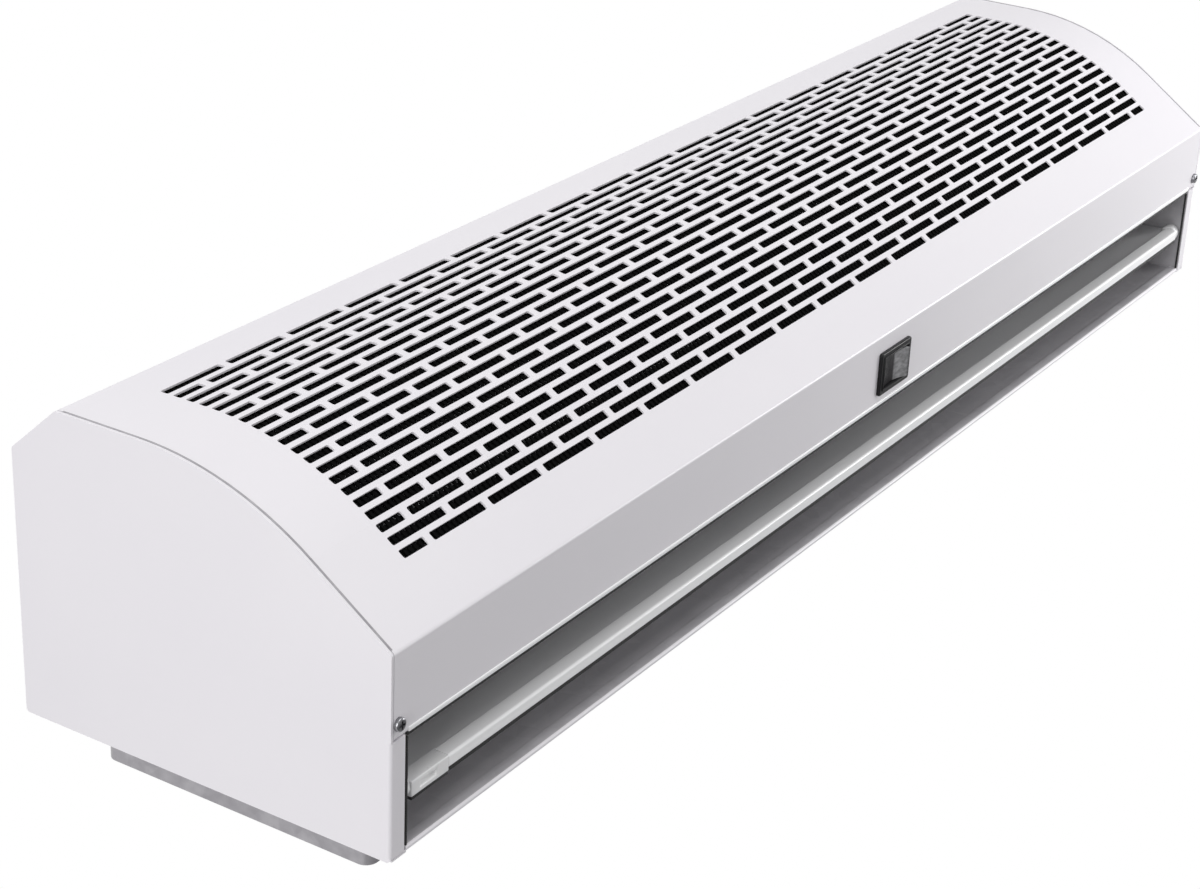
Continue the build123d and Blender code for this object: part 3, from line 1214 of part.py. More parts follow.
# Wiring, held by saddle clips: from the switch along the tongue and up the right end to the terminal block,
# from the motor along the ledge to the same block, and from the capacitor to its end
loom_route = [
    place(SWITCH_X + PLUG_L / 2, PLUG_LOW + PLUG_H / 2, SWITCH_OUT),
    place(40, PLUG_LOW + PLUG_H / 2, SWITCH_OUT),
    place(85, LOOM_LOW, LOOM_OUT),
    place(390, LOOM_LOW, LOOM_OUT),
    place(425, 30, 112),
    place(LOOM_SIDE_X, 50, 124),
    place(LOOM_SIDE_X, 100, LOOM_SIDE_OUT),
    place(LOOM_SIDE_X, 180, LOOM_SIDE_OUT),
    place(400, 195, 122),
    place(BLOCK_X + WAY_PITCH, BLOCK_UP, 95),
    place(BLOCK_X + WAY_PITCH, BLOCK_UP, BLOCK_FRONT),
]
with BuildPart() as wire_loom:
    with BuildLine() as loom_line:
        FilletPolyline(*loom_route, radius=corner_radii(loom_route, LOOM_BEND))
    with BuildSketch(Plane(origin=loom_line.line @ 0, z_dir=loom_line.line % 0)):
        Circle(LOOM_R)
    sweep()
finish("wire_loom", wire_loom)

lead_route = [
    place(0, *about(LEAD_ANGLE, CAN_R + SEAT_GAP)),
    place(0, *about(LEAD_ANGLE, LEAD_REACH)),
    place(35, LEAD_UP, LEDGE_OUT),
    place(300, LEAD_UP, LEDGE_OUT),
    place(BLOCK_X - WAY_PITCH, BLOCK_UP, 95),
    place(BLOCK_X - WAY_PITCH, BLOCK_UP, BLOCK_FRONT),
]
with BuildPart() as motor_lead:
    with BuildLine() as lead_line:
        FilletPolyline(*lead_route, radius=corner_radii(lead_route, LOOM_BEND))
    with BuildSketch(Plane(origin=lead_line.line @ 0, z_dir=lead_line.line % 0)):
        Circle(LEAD_R)
    sweep()
finish("motor_lead", motor_lead)

with BuildPart() as capacitor_lead:
    with BuildSketch(shaft_plane(CAPACITOR_X + CAPACITOR_L / 2, BLOCK_UP, CAP_LEAD_OUT)):
        Circle(CAP_LEAD_R)
    extrude(amount=BLOCK_X - BLOCK_L / 2 - CAPACITOR_X - CAPACITOR_L / 2)
finish("capacitor_lead", capacitor_lead)

with BuildPart() as loom_clips:
    for x in LOOM_CLIP_X:
        clip_plane = Plane(origin=place(x, LOOM_LOW, LOOM_OUT), x_dir=TOP, z_dir=(1, 0, 0))
        extrude(to_extrude=saddle_clip(clip_plane, LOOM_R), amount=CLIP_W / 2, both=True)
    clip_plane = Plane(origin=place(LOOM_SIDE_X, LOOM_CLIP_UP, LOOM_SIDE_OUT), x_dir=(0, 1, 0), z_dir=TOP)
    extrude(to_extrude=saddle_clip(clip_plane, LOOM_R), amount=CLIP_W / 2, both=True)
    for x in LEAD_CLIP_X:
        clip_plane = Plane(origin=place(x, LEAD_UP, LEDGE_OUT), x_dir=FRONT, z_dir=(1, 0, 0))
        extrude(to_extrude=saddle_clip(clip_plane, LEAD_R), amount=CLIP_W / 2, both=True)
finish("loom_clips", loom_clips)
for points, cable, line, radius in (
    (loom_route, wire_loom, loom_line, LOOM_R),
    (lead_route, motor_lead, lead_line, LEAD_R),
):
    print(cable.part.label, "bends", [round(bend, 1) for bend in corner_radii(points, LOOM_BEND)])
    print("volume against its length", cable.part.volume / (pi * radius**2 * line.wires()[0].length))
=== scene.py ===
import json
import logging
import math
from dataclasses import dataclass
from enum import Enum
from typing import Any, Callable, Sequence

import bpy
from mathutils import Matrix, Vector


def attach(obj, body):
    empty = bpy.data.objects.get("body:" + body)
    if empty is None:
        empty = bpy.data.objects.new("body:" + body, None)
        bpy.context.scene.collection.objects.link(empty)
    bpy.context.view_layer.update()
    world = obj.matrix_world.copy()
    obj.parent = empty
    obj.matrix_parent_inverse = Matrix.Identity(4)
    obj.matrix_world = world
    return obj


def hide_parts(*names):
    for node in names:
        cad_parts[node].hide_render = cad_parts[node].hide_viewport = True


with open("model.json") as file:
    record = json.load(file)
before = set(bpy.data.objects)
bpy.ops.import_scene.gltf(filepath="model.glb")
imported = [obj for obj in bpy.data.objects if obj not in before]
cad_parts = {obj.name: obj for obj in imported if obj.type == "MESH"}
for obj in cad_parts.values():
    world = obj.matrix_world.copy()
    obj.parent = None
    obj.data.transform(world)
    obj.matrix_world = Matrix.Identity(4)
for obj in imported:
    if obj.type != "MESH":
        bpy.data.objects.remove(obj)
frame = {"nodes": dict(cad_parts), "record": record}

Colour = tuple[float, float, float]
Point = tuple[float, float, float]
log = logging.getLogger("air_curtain")
MM = 0.001
# Places closer than this count as the same
NEAR = 0.01 * MM
# A face whose normal has at least this share of an axis faces along it
FACING = 0.9


class Socket(Enum):
    """Names of the shader inputs that the finishes set."""

    COLOUR = "Base Color"
    ROUGHNESS = "Roughness"
    METAL = "Metallic"
    NORMAL = "Normal"
    SPECULAR = "Specular IOR Level"


class Side(Enum):
    """The two ends of the casing, by the sign of X."""

    LEFT = -1
    RIGHT = 1


class NodeGraph:
    """A material's node tree with short ways to add and join its nodes."""

    # The colour mix node's sockets, by their place in it
    MIX_FACTOR = 0
    MIX_FIRST = 6
    MIX_SECOND = 7
    MIX_RESULT = 2

    def __init__(self, name: str) -> None:
        """Start a material with one principled shader.

        Args:
            name: The material's name.
        """
        self.material = bpy.data.materials.new(name)
        self.material.use_nodes = True
        self.tree = self.material.node_tree
        self.shader = self.tree.nodes["Principled BSDF"]

    def add(self, kind: str, **inputs: Any) -> bpy.types.Node:
        """Add a node and set or link its inputs.

        Args:
            kind: The node's Blender type.
            inputs: Values, or output sockets to link, by input name with spaces as underscores.

        Returns:
            The new node.
        """
        node = self.tree.nodes.new(kind)
        for key, value in inputs.items():
            self.feed(node, key.replace("_", " "), value)
        return node

    def feed(self, node: bpy.types.Node, key: str, value: Any) -> None:
        """Set an input's value, or link an output to it.

        Args:
            node: The node that owns the input.
            key: The input's name.
            value: A value or an output socket.
        """
        if isinstance(value, bpy.types.NodeSocket):
            self.tree.links.new(value, node.inputs[key])
        else:
            node.inputs[key].default_value = value

    def set(self, socket: Socket, value: Any) -> None:
        """Set or link one of the shader's own inputs.

        Args:
            socket: Which input.
            value: A number, a colour or an output socket.
        """
        self.feed(self.shader, socket.value, value)

    def place(self, scale: Point = (1.0, 1.0, 1.0)) -> bpy.types.NodeSocket:
        """Object coordinates in metres, stretched for a pattern.

        Args:
            scale: How many pattern units a metre holds along X, Y and Z.

        Returns:
            The vector output.
        """
        coordinates = self.add("ShaderNodeTexCoord")
        mapping = self.add("ShaderNodeMapping", Vector=coordinates.outputs["Object"], Scale=scale)
        return mapping.outputs["Vector"]

    def noise(self, scale: Point, detail: float = 3.0) -> bpy.types.NodeSocket:
        """Soft noise between 0 and 1.

        Args:
            scale: Pattern units a metre along X, Y and Z.
            detail: Octaves of detail.

        Returns:
            The factor output.
        """
        node = self.add("ShaderNodeTexNoise", Vector=self.place(scale), Scale=1.0, Detail=detail)
        return node.outputs["Fac"]

    def ramp(
        self,
        value: bpy.types.NodeSocket,
        low: float = 0.0,
        high: float = 1.0,
        stops: tuple[float, float] = (0.3, 0.7),
    ) -> bpy.types.NodeSocket:
        """Map a factor to a range.

        Args:
            value: The factor to map.
            low: The result at the lower stop.
            high: The result at the upper stop.
            stops: The factor's values at the lower and at the upper stop.

        Returns:
            The mapped output.
        """
        start, end = stops
        node = self.add(
            "ShaderNodeMapRange", Value=value, From_Min=start, From_Max=end, To_Min=low, To_Max=high
        )
        return node.outputs["Result"]

    def blend(self, factor: bpy.types.NodeSocket, first: Colour, second: Colour) -> bpy.types.NodeSocket:
        """Mix two colours.

        Args:
            factor: The share of the second colour.
            first: The colour at 0.
            second: The colour at 1.

        Returns:
            The colour output.
        """
        node = self.add("ShaderNodeMix")
        node.data_type = "RGBA"
        self.tree.links.new(factor, node.inputs[self.MIX_FACTOR])
        node.inputs[self.MIX_FIRST].default_value = (*first, 1.0)
        node.inputs[self.MIX_SECOND].default_value = (*second, 1.0)
        return node.outputs[self.MIX_RESULT]

    def roughen(self, factor: bpy.types.NodeSocket, roughness: float, fall: float, rise: float) -> None:
        """Let the shader's roughness vary with a factor.

        Args:
            factor: The factor it follows.
            roughness: The finish's own roughness.
            fall: How far it falls below that.
            rise: How far it rises above it.
        """
        self.set(Socket.ROUGHNESS, self.ramp(factor, roughness - fall, roughness + rise))

    def grain(self, pitch: float, depth: float, strength: float) -> None:
        """Bump the surface with an even, fine noise.

        Args:
            pitch: Distance between the grains in metres.
            depth: Their depth in metres.
            strength: How much of it shows.
        """
        scale = 1.0 / pitch
        self.bump(self.noise((scale, scale, scale), detail=2.0), depth, strength)

    def bump(self, height: bpy.types.NodeSocket, depth: float, strength: float) -> None:
        """Drive the shader's normal from a height.

        Args:
            height: The height factor.
            depth: The height's real size in metres.
            strength: How much of it shows.
        """
        node = self.add("ShaderNodeBump", Height=height, Strength=strength, Distance=depth)
        self.set(Socket.NORMAL, node.outputs["Normal"])


@dataclass(frozen=True)
class PowderCoat:
    """White powder coat on sheet metal: an even skin with a fine orange peel and faint handling marks."""

    name: str
    colour: Colour
    shade: Colour
    roughness: float = 0.36
    specular: float = 0.5
    peel_pitch: float = 0.9 * MM
    peel_depth: float = 0.02 * MM

    def material(self) -> bpy.types.Material:
        """Build the coat's material.

        Returns:
            The material.
        """
        graph = NodeGraph(self.name)
        cloud = graph.noise((4.0, 9.0, 9.0), detail=4.0)
        graph.set(Socket.COLOUR, graph.blend(graph.ramp(cloud), self.colour, self.shade))
        smudge = graph.noise((14.0, 30.0, 30.0), detail=6.0)
        graph.roughen(smudge, self.roughness, fall=0.02, rise=0.04)
        graph.grain(self.peel_pitch, self.peel_depth, strength=0.35)
        graph.set(Socket.SPECULAR, self.specular)
        return graph.material


@dataclass(frozen=True)
class Galvanised:
    """Zinc-coated sheet: flat spangles a few millimetres wide and faint rolling streaks along the length."""

    name: str
    dark: Colour
    light: Colour
    spangle: float = 9.0 * MM
    spangle_share: float = 0.35
    roughness: float = 0.46
    metal: float = 0.35
    grain_depth: float = 0.03 * MM

    def material(self) -> bpy.types.Material:
        """Build the sheet's material.

        Returns:
            The material.
        """
        graph = NodeGraph(self.name)
        cells = graph.add("ShaderNodeTexVoronoi", Vector=graph.place(), Scale=1.0 / self.spangle)
        tone = graph.add("ShaderNodeSeparateColor", Color=cells.outputs["Color"])
        streak = graph.noise((3.0, 160.0, 160.0), detail=4.0)
        mix = graph.add("ShaderNodeMath", Value=tone.outputs["Red"])
        mix.operation = "MULTIPLY_ADD"
        mix.inputs[1].default_value = self.spangle_share
        graph.tree.links.new(graph.ramp(streak, high=1.0 - self.spangle_share), mix.inputs[2])
        graph.set(Socket.COLOUR, graph.blend(mix.outputs["Value"], self.dark, self.light))
        graph.roughen(tone.outputs["Green"], self.roughness, fall=0.06, rise=0.1)
        graph.set(Socket.METAL, self.metal)
        graph.bump(graph.noise((40.0, 400.0, 400.0), detail=2.0), self.grain_depth, strength=0.3)
        return graph.material


@dataclass(frozen=True)
class Moulded:
    """Moulded plastic or rubber with a fine spark-eroded grain."""

    name: str
    colour: Colour
    shade: Colour
    roughness: float
    specular: float = 0.5
    grain_pitch: float = 0.35 * MM
    grain_depth: float = 0.012 * MM

    def material(self) -> bpy.types.Material:
        """Build the plastic's material.

        Returns:
            The material.
        """
        graph = NodeGraph(self.name)
        wear = graph.noise((60.0, 60.0, 60.0), detail=5.0)
        graph.set(Socket.COLOUR, graph.blend(graph.ramp(wear), self.colour, self.shade))
        graph.roughen(wear, self.roughness, fall=0.05, rise=0.08)
        graph.set(Socket.SPECULAR, self.specular)
        graph.grain(self.grain_pitch, self.grain_depth, strength=0.5)
        return graph.material


@dataclass(frozen=True)
class HighlightedPlastic:
    """The rocker's black plastic with a painted highlight: its right half is painted lighter grey in noisy
    flecks, as light falls on it, fading near the right end.
    """

    name: str
    colour: Colour
    # Painted highlight: the grey that the right half is lightened to, and where that starts along X
    highlight_colour: Colour
    highlight_from: float = -3.2 * MM
    highlight_to: float = -1.6 * MM
    end_from: float = 7.2 * MM
    end_to: float = 8.6 * MM
    highlight_end_share: float = 0.3
    faintest_highlight: float = 0.35
    specular: float = 0.35
    grain_depth: float = 0.02 * MM

    def material(self) -> bpy.types.Material:
        """Build the plastic's material with its painted highlight.

        Returns:
            The material.
        """
        graph = NodeGraph(self.name)
        along = graph.add("ShaderNodeSeparateXYZ", Vector=graph.place()).outputs["X"]
        highlight_flecks = graph.ramp(graph.noise((260.0, 420.0, 420.0), detail=6.0), low=self.faintest_highlight)
        # Painted highlight: the right half is painted lighter, broken up by noise flecks and fading at the
        # end
        lit_half = graph.ramp(along, stops=(self.highlight_from, self.highlight_to))
        highlight_end_fade = graph.ramp(along, low=1.0, high=self.highlight_end_share, stops=(self.end_from, self.end_to))
        for factor in (lit_half, highlight_end_fade):
            both = graph.add("ShaderNodeMath")
            both.operation = "MULTIPLY"
            graph.tree.links.new(highlight_flecks, both.inputs[0])
            graph.tree.links.new(factor, both.inputs[1])
            highlight_flecks = both.outputs["Value"]
        graph.set(Socket.COLOUR, graph.blend(highlight_flecks, self.colour, self.highlight_colour))
        graph.set(Socket.ROUGHNESS, graph.ramp(highlight_flecks, low=0.4, high=0.65))
        graph.set(Socket.SPECULAR, self.specular)
        graph.bump(graph.noise((900.0, 900.0, 900.0), detail=2.0), self.grain_depth, strength=0.5)
        return graph.material


@dataclass(frozen=True)
class Machined:
    """Bright metal with fine marks along one direction, as turning or rolling leaves them."""

    name: str
    dark: Colour
    light: Colour
    roughness: float
    marks: Point = (30.0, 900.0, 900.0)
    mark_depth: float = 0.01 * MM

    def material(self) -> bpy.types.Material:
        """Build the metal's material.

        Returns:
            The material.
        """
        graph = NodeGraph(self.name)
        lines = graph.noise(self.marks)
        graph.set(Socket.COLOUR, graph.blend(graph.ramp(lines), self.dark, self.light))
        graph.roughen(lines, self.roughness, fall=0.0, rise=0.12)
        graph.set(Socket.METAL, 1.0)
        graph.bump(lines, self.mark_depth, strength=0.4)
        return graph.material


@dataclass(frozen=True)
class Layered:
    """Stacked laminations or wound wire: a fine wave along one axis."""

    # A wave texture of scale 1 repeats at about this distance
    WAVE_PERIOD = 0.31

    name: str
    dark: Colour
    light: Colour
    pitch: float
    axis: str
    metal: float
    roughness: float = 0.4
    layer_depth: float = 0.15 * MM

    def material(self) -> bpy.types.Material:
        """Build the layers' material.

        Returns:
            The material.
        """
        graph = NodeGraph(self.name)
        scale = self.WAVE_PERIOD / self.pitch
        wave = graph.add("ShaderNodeTexWave", Vector=graph.place(), Scale=scale, Distortion=0.4)
        wave.bands_direction = self.axis
        graph.set(Socket.COLOUR, graph.blend(wave.outputs["Fac"], self.dark, self.light))
        graph.set(Socket.METAL, self.metal)
        graph.roughen(graph.noise((200.0, 200.0, 200.0)), self.roughness, fall=0.0, rise=0.2)
        graph.bump(wave.outputs["Fac"], self.layer_depth, strength=0.8)
        return graph.material


class Finishes:
    """Every finish of the air curtain, built once and handed to the pieces by slot name."""

    def __init__(self) -> None:
        """Build all the materials."""
        coats = (
            PowderCoat("white_enamel", (0.80, 0.78, 0.81), (0.775, 0.755, 0.79)),
            PowderCoat("louvre_white", (0.93, 0.93, 0.93), (0.90, 0.90, 0.91), 0.3),
            PowderCoat("motor_enamel", (0.030, 0.032, 0.036), (0.045, 0.047, 0.05), 0.45),
            Galvanised("galvanised_sheet", (0.27, 0.26, 0.28), (0.39, 0.38, 0.40)),
            # Duct walls: a lighter copy of the galvanised sheet, painted light for walls that sit in shade
            Galvanised("lit_duct_sheet", (0.44, 0.43, 0.45), (0.54, 0.53, 0.55)),
            Moulded("white_plastic", (0.84, 0.84, 0.84), (0.80, 0.80, 0.81), 0.32),
            Moulded("black_plastic", (0.006, 0.006, 0.007), (0.012, 0.012, 0.013), 0.35, 0.2),
            # The rocker's lighter grey is a painted highlight on its right half
            HighlightedPlastic("rocker_plastic", (0.018, 0.017, 0.019), (0.36, 0.36, 0.37)),
            Moulded("natural_nylon", (0.70, 0.69, 0.63), (0.64, 0.63, 0.56), 0.5),
            Moulded("grey_cable", (0.05, 0.05, 0.052), (0.075, 0.075, 0.08), 0.5),
            Moulded("black_rubber", (0.014, 0.014, 0.014), (0.026, 0.026, 0.026), 0.7),
            # Darkened zinc: painted shade standing in for the shadow on the cover screws
            Machined("zinc_screw", (0.20, 0.20, 0.21), (0.38, 0.38, 0.40), 0.28),
            Machined("machined_steel", (0.36, 0.36, 0.37), (0.52, 0.52, 0.53), 0.25),
            Machined("wheel_metal", (0.46, 0.47, 0.48), (0.62, 0.63, 0.64), 0.38),
            # Near-black net: painted shade for the dark interior behind the slots
            Moulded("screen_plastic", (0.002, 0.002, 0.0021), (0.004, 0.004, 0.0042), 0.85, 0.04),
            Machined("tinned_brass", (0.52, 0.47, 0.34), (0.70, 0.65, 0.50), 0.3),
            Layered("lamination_steel", (0.10, 0.10, 0.11), (0.24, 0.24, 0.25), 0.5 * MM, "X", 0.9),
            Layered("copper_wire", (0.30, 0.10, 0.04), (0.62, 0.27, 0.12), 0.8 * MM, "X", 0.9),
        )
        self.by_slot = {coat.name: coat.material() for coat in coats}

    def dress(self, piece: bpy.types.Object, slot: str) -> None:
        """Give a piece one finish all over.

        Args:
            piece: The piece to dress.
            slot: The record's material slot.
        """
        if not piece.data.materials:
            piece.data.materials.append(None)
        for index in range(len(piece.data.materials)):
            piece.data.materials[index] = self.by_slot[slot]

    def dress_nodes(self) -> None:
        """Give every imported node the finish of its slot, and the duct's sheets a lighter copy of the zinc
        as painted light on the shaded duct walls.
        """
        for entry in frame["record"]["subparts"]:
            self.dress(frame["nodes"][entry["node"]], entry["material_slot"])
        # Painted light: the shaded duct sheets get the lighter zinc copy
        for node in ("scroll_wall", "side_plate_left", "side_plate_right"):
            self.dress(frame["nodes"][node], "lit_duct_sheet")


class Modeller:
    """Edit-mode steps that the pieces share."""

    # Faces that meet at less than this, in degrees, are shaded smooth
    SMOOTH_BELOW = 30.0

    @staticmethod
    def start(add: Callable[..., Any], name: str, **settings: Any) -> bpy.types.Object:
        """Add a primitive with nothing else selected, and apply its place.

        Args:
            add: The primitive's operator.
            name: The piece's name.
            settings: The operator's settings.

        Returns:
            The new object, at the origin with its place in its mesh.
        """
        bpy.ops.object.select_all(action="DESELECT")
        scale = settings.pop("scale", None)
        add(**settings)
        piece = bpy.context.object
        piece.name = name
        piece.data.name = name
        if scale:
            piece.scale = scale
        bpy.ops.object.transform_apply(location=True, rotation=True, scale=True)
        return piece

    @staticmethod
    def block(name: str, middle: Sequence[float], size: Sequence[float]) -> bpy.types.Object:
        """Add a plain block by its middle and its size.

        Args:
            name: The block's name.
            middle: Its middle's X, Y and Z.
            size: Its size along X, Y and Z.

        Returns:
            The block.
        """
        return Modeller.start(bpy.ops.mesh.primitive_cube_add, name, size=1.0, location=middle, scale=size)

    @staticmethod
    def bar(name: str, low: Point, high: Point) -> bpy.types.Object:
        """Add a plain bar from its low corner to its high corner.

        Args:
            name: The bar's name.
            low: Its smallest X, Y and Z.
            high: Its largest X, Y and Z.

        Returns:
            The bar, to be finished by the caller.
        """
        middle = [(first + last) / 2 for first, last in zip(low, high)]
        size = [last - first for first, last in zip(low, high)]
        return Modeller.block(name, middle, size)

    @staticmethod
    def clear(piece: bpy.types.Object) -> None:
        """Leave edit mode with nothing selected.

        Args:
            piece: The object in edit mode.
        """
        bpy.ops.object.mode_set(mode="OBJECT")
        for element in (*piece.data.vertices, *piece.data.edges, *piece.data.polygons):
            element.select = False

    @staticmethod
    def pick(piece: bpy.types.Object, test: Callable[[Vector, Vector], bool]) -> None:
        """Select, in edit mode, the faces that pass a test.

        Args:
            piece: The object in edit mode.
            test: Takes a face's centre and normal.
        """
        Modeller.clear(piece)
        for face in piece.data.polygons:
            face.select = test(face.center, face.normal)
        bpy.ops.object.mode_set(mode="EDIT")
        bpy.ops.mesh.select_mode(type="FACE")

    @staticmethod
    def pull(offset: Point) -> None:
        """Extrude the selected faces.

        Args:
            offset: The move in metres.
        """
        bpy.ops.mesh.extrude_region_move(TRANSFORM_OT_translate={"value": offset})

    @staticmethod
    def cut(place: Point, normal: Point) -> None:
        """Cut the whole mesh, in edit mode, with a plane and keep both sides.

        Args:
            place: A point on the plane.
            normal: The plane's normal.
        """
        bpy.ops.mesh.select_all(action="SELECT")
        bpy.ops.mesh.bisect(plane_co=place, plane_no=normal)

    @staticmethod
    def lift(piece: bpy.types.Object, test: Callable[[Vector], bool], offset: Point) -> None:
        """Move, in edit mode, the vertices that pass a test.

        Args:
            piece: The object in edit mode.
            test: Takes a vertex's place.
            offset: The move in metres.
        """
        Modeller.clear(piece)
        for vertex in piece.data.vertices:
            vertex.select = test(vertex.co)
        bpy.ops.object.mode_set(mode="EDIT")
        bpy.ops.mesh.select_mode(type="VERT")
        bpy.ops.transform.translate(value=offset)

    @staticmethod
    def turn(piece: bpy.types.Object, angle: float, centre: Point, axis: str) -> None:
        """Turn a finished piece about a point and leave the turn in its mesh.

        Args:
            piece: The object.
            angle: The turn in radians, right-handed about the axis.
            centre: The point that stays in place.
            axis: X, Y or Z.
        """
        middle = Vector(centre)
        turn = Matrix.Translation(middle) @ Matrix.Rotation(angle, 4, axis) @ Matrix.Translation(-middle)
        piece.data.transform(turn)

    @staticmethod
    def finish(piece: bpy.types.Object, radius: float, segments: int = 3, angle: float = 40.0) -> None:
        """Round a piece's sharp edges and shade it.

        Args:
            piece: The object to finish.
            radius: The edges' radius in metres.
            segments: Steps in each rounded edge.
            angle: Edges sharper than this are rounded, in degrees.
        """
        bpy.ops.object.mode_set(mode="OBJECT")
        modifier = piece.modifiers.new("edges", "BEVEL")
        modifier.width = radius
        modifier.segments = segments
        modifier.limit_method = "ANGLE"
        modifier.angle_limit = math.radians(angle)
        bpy.ops.object.modifier_apply(modifier=modifier.name)
        bpy.ops.object.shade_smooth_by_angle(angle=math.radians(Modeller.SMOOTH_BELOW))

    @staticmethod
    def join(name: str, pieces: Sequence[bpy.types.Object]) -> bpy.types.Object:
        """Join meshes into one piece.

        Args:
            name: The joined piece's name.
            pieces: The meshes, the first of which is kept.

        Returns:
            The joined object.
        """
        bpy.ops.object.select_all(action="DESELECT")
        for piece in pieces:
            piece.select_set(True)
        bpy.context.view_layer.objects.active = pieces[0]
        bpy.ops.object.join()
        pieces[0].name = name
        pieces[0].data.name = name
        return pieces[0]


@dataclass(frozen=True)
class CoverFront:
    """The curve of the cover's front, from its lower fold over the slope and the round to the flat."""

    fold_y: float = -110.0 * MM
    fold_z: float = -89.0 * MM
    radius: float = 162.0 * MM
    nose_drop: float = 104.0 * MM
    flat_low: float = 134.7 * MM

    @property
    def slope(self) -> float:
        """Angle of the slope to the vertical, where it is tangent to the round.

        Returns:
            The angle in radians.
        """
        reach = math.hypot(self.flat_low, self.nose_drop)
        return math.asin(self.radius / reach) - math.atan2(self.nose_drop, self.flat_low)

    @property
    def slope_run(self) -> float:
        """Length of the straight slope.

        Returns:
            The length in metres.
        """
        return self.flat_low * math.cos(self.slope) - self.nose_drop * math.sin(self.slope)

    @property
    def round_run(self) -> float:
        """Length of the round.

        Returns:
            The length in metres.
        """
        return self.radius * self.slope

    @property
    def centre(self) -> tuple[float, float]:
        """Place of the round's centre.

        Returns:
            Its Y and Z.
        """
        return (self.fold_y + self.nose_drop, self.fold_z + self.flat_low)

    def spot(self, run: float, depth: float) -> tuple[float, float, float]:
        """Y, Z and slope at a distance along the front, a depth behind it.

        Args:
            run: Distance along the front from its lower fold.
            depth: Depth behind the outer face.

        Returns:
            Y, Z and the angle to the vertical there.
        """
        if run < self.slope_run:
            angle = self.slope
            y = self.fold_y - run * math.sin(angle)
            z = self.fold_z + run * math.cos(angle)
            return (y + depth * math.cos(angle), z + depth * math.sin(angle), angle)
        turned = min((run - self.slope_run) / self.radius, self.slope)
        angle = self.slope - turned
        y, z = self.centre
        beyond = max(run - self.slope_run - self.round_run, 0.0)
        reach = self.radius - depth
        return (y - reach * math.cos(angle), z - reach * math.sin(angle) + beyond, angle)


class FrontStrip:
    """A strip of even section that follows the cover's front over the slope, the round and the flat."""

    STEPS = 14
    MERGE = 0.001 * MM

    @staticmethod
    def build(
        name: str,
        front: CoverFront,
        x: float,
        width: float,
        depths: tuple[float, float],
        runs: tuple[float, float],
    ) -> bpy.types.Object:
        """Shape the strip from a block on the flat, spun down the round and pulled down the slope.

        Args:
            name: The piece's name.
            front: The curve to follow.
            x: The strip's middle.
            width: Its width along X.
            depths: Its outer and inner depth behind the cover's outer face.
            runs: Where it starts and ends along the front.

        Returns:
            The strip.
        """
        flat_start = front.slope_run + front.round_run
        outer, _, _ = front.spot(flat_start, depths[0])
        inner, low_z, _ = front.spot(flat_start, depths[1])
        length = runs[1] - flat_start
        middle = (x, (outer + inner) / 2, low_z + length / 2)
        strip = Modeller.block(name, middle, (width, inner - outer, length))
        bpy.ops.object.mode_set(mode="EDIT")
        Modeller.pick(strip, lambda centre, normal: normal.z < -FACING)
        bpy.ops.mesh.spin(
            steps=FrontStrip.STEPS,
            angle=-front.slope,
            center=(0, *front.centre),
            axis=(1, 0, 0),
        )
        run = front.slope_run - runs[0]
        Modeller.pull((0, run * math.sin(front.slope), -run * math.cos(front.slope)))
        bpy.ops.mesh.select_all(action="SELECT")
        bpy.ops.mesh.remove_doubles(threshold=FrontStrip.MERGE)
        bpy.ops.mesh.normals_make_consistent(inside=False)
        bpy.ops.object.mode_set(mode="OBJECT")
        return strip


@dataclass
class DustNetAndShade:
    """Netting moulded into the frame behind the slots: flat strands in two crossing layers. Its near-black
    colour is painted shade for the dark interior seen through the slots.
    """

    front: CoverFront
    low: float = 27.6 * MM
    high: float = 179.5 * MM
    pitch: float = 3.5 * MM
    strand: float = 1.9 * MM
    thickness: float = 0.6 * MM
    depth: float = 1.6 * MM
    half_length: float = 412.0 * MM

    def build(self, finishes: Finishes) -> None:
        """Make both layers and put them behind the slots.

        Args:
            finishes: The shared finishes.
        """
        net = Modeller.join("dust_net_and_shade", [self.across(), self.along()])
        # Painted shade: the net's near-black stands for the dark interior behind the slots
        net.data.materials.append(finishes.by_slot["screen_plastic"])
        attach(net, "casing")
        log.info("dust_net_and_shade: %d faces", len(net.data.polygons))

    def across(self) -> bpy.types.Object:
        """One strand that follows the front's curve, repeated along the length.

        Returns:
            The layer of crosswise strands.
        """
        depths = (self.depth, self.depth + self.thickness)
        runs = (self.low, self.high)
        strand = FrontStrip.build("across", self.front, -self.half_length, self.strand, depths, runs)
        rows = strand.modifiers.new("rows", "ARRAY")
        rows.use_relative_offset = False
        rows.use_constant_offset = True
        rows.constant_offset_displace = (self.pitch, 0, 0)
        rows.count = int(2 * self.half_length / self.pitch) + 1
        bpy.ops.object.modifier_apply(modifier=rows.name)
        return strand

    def along(self) -> bpy.types.Object:
        """Straight strands along the length, one for each pitch of the curve.

        Returns:
            The layer of lengthwise strands.
        """
        strands = []
        for row in range(int((self.high - self.low) / self.pitch) + 1):
            y, z, angle = self.front.spot(self.low + row * self.pitch, self.depth + 1.5 * self.thickness)
            strand = Modeller.block("along", (0, y, z), (2 * self.half_length, self.thickness, self.strand))
            Modeller.turn(strand, angle, (0, y, z), "X")
            strands.append(strand)
        return Modeller.join("along", strands)


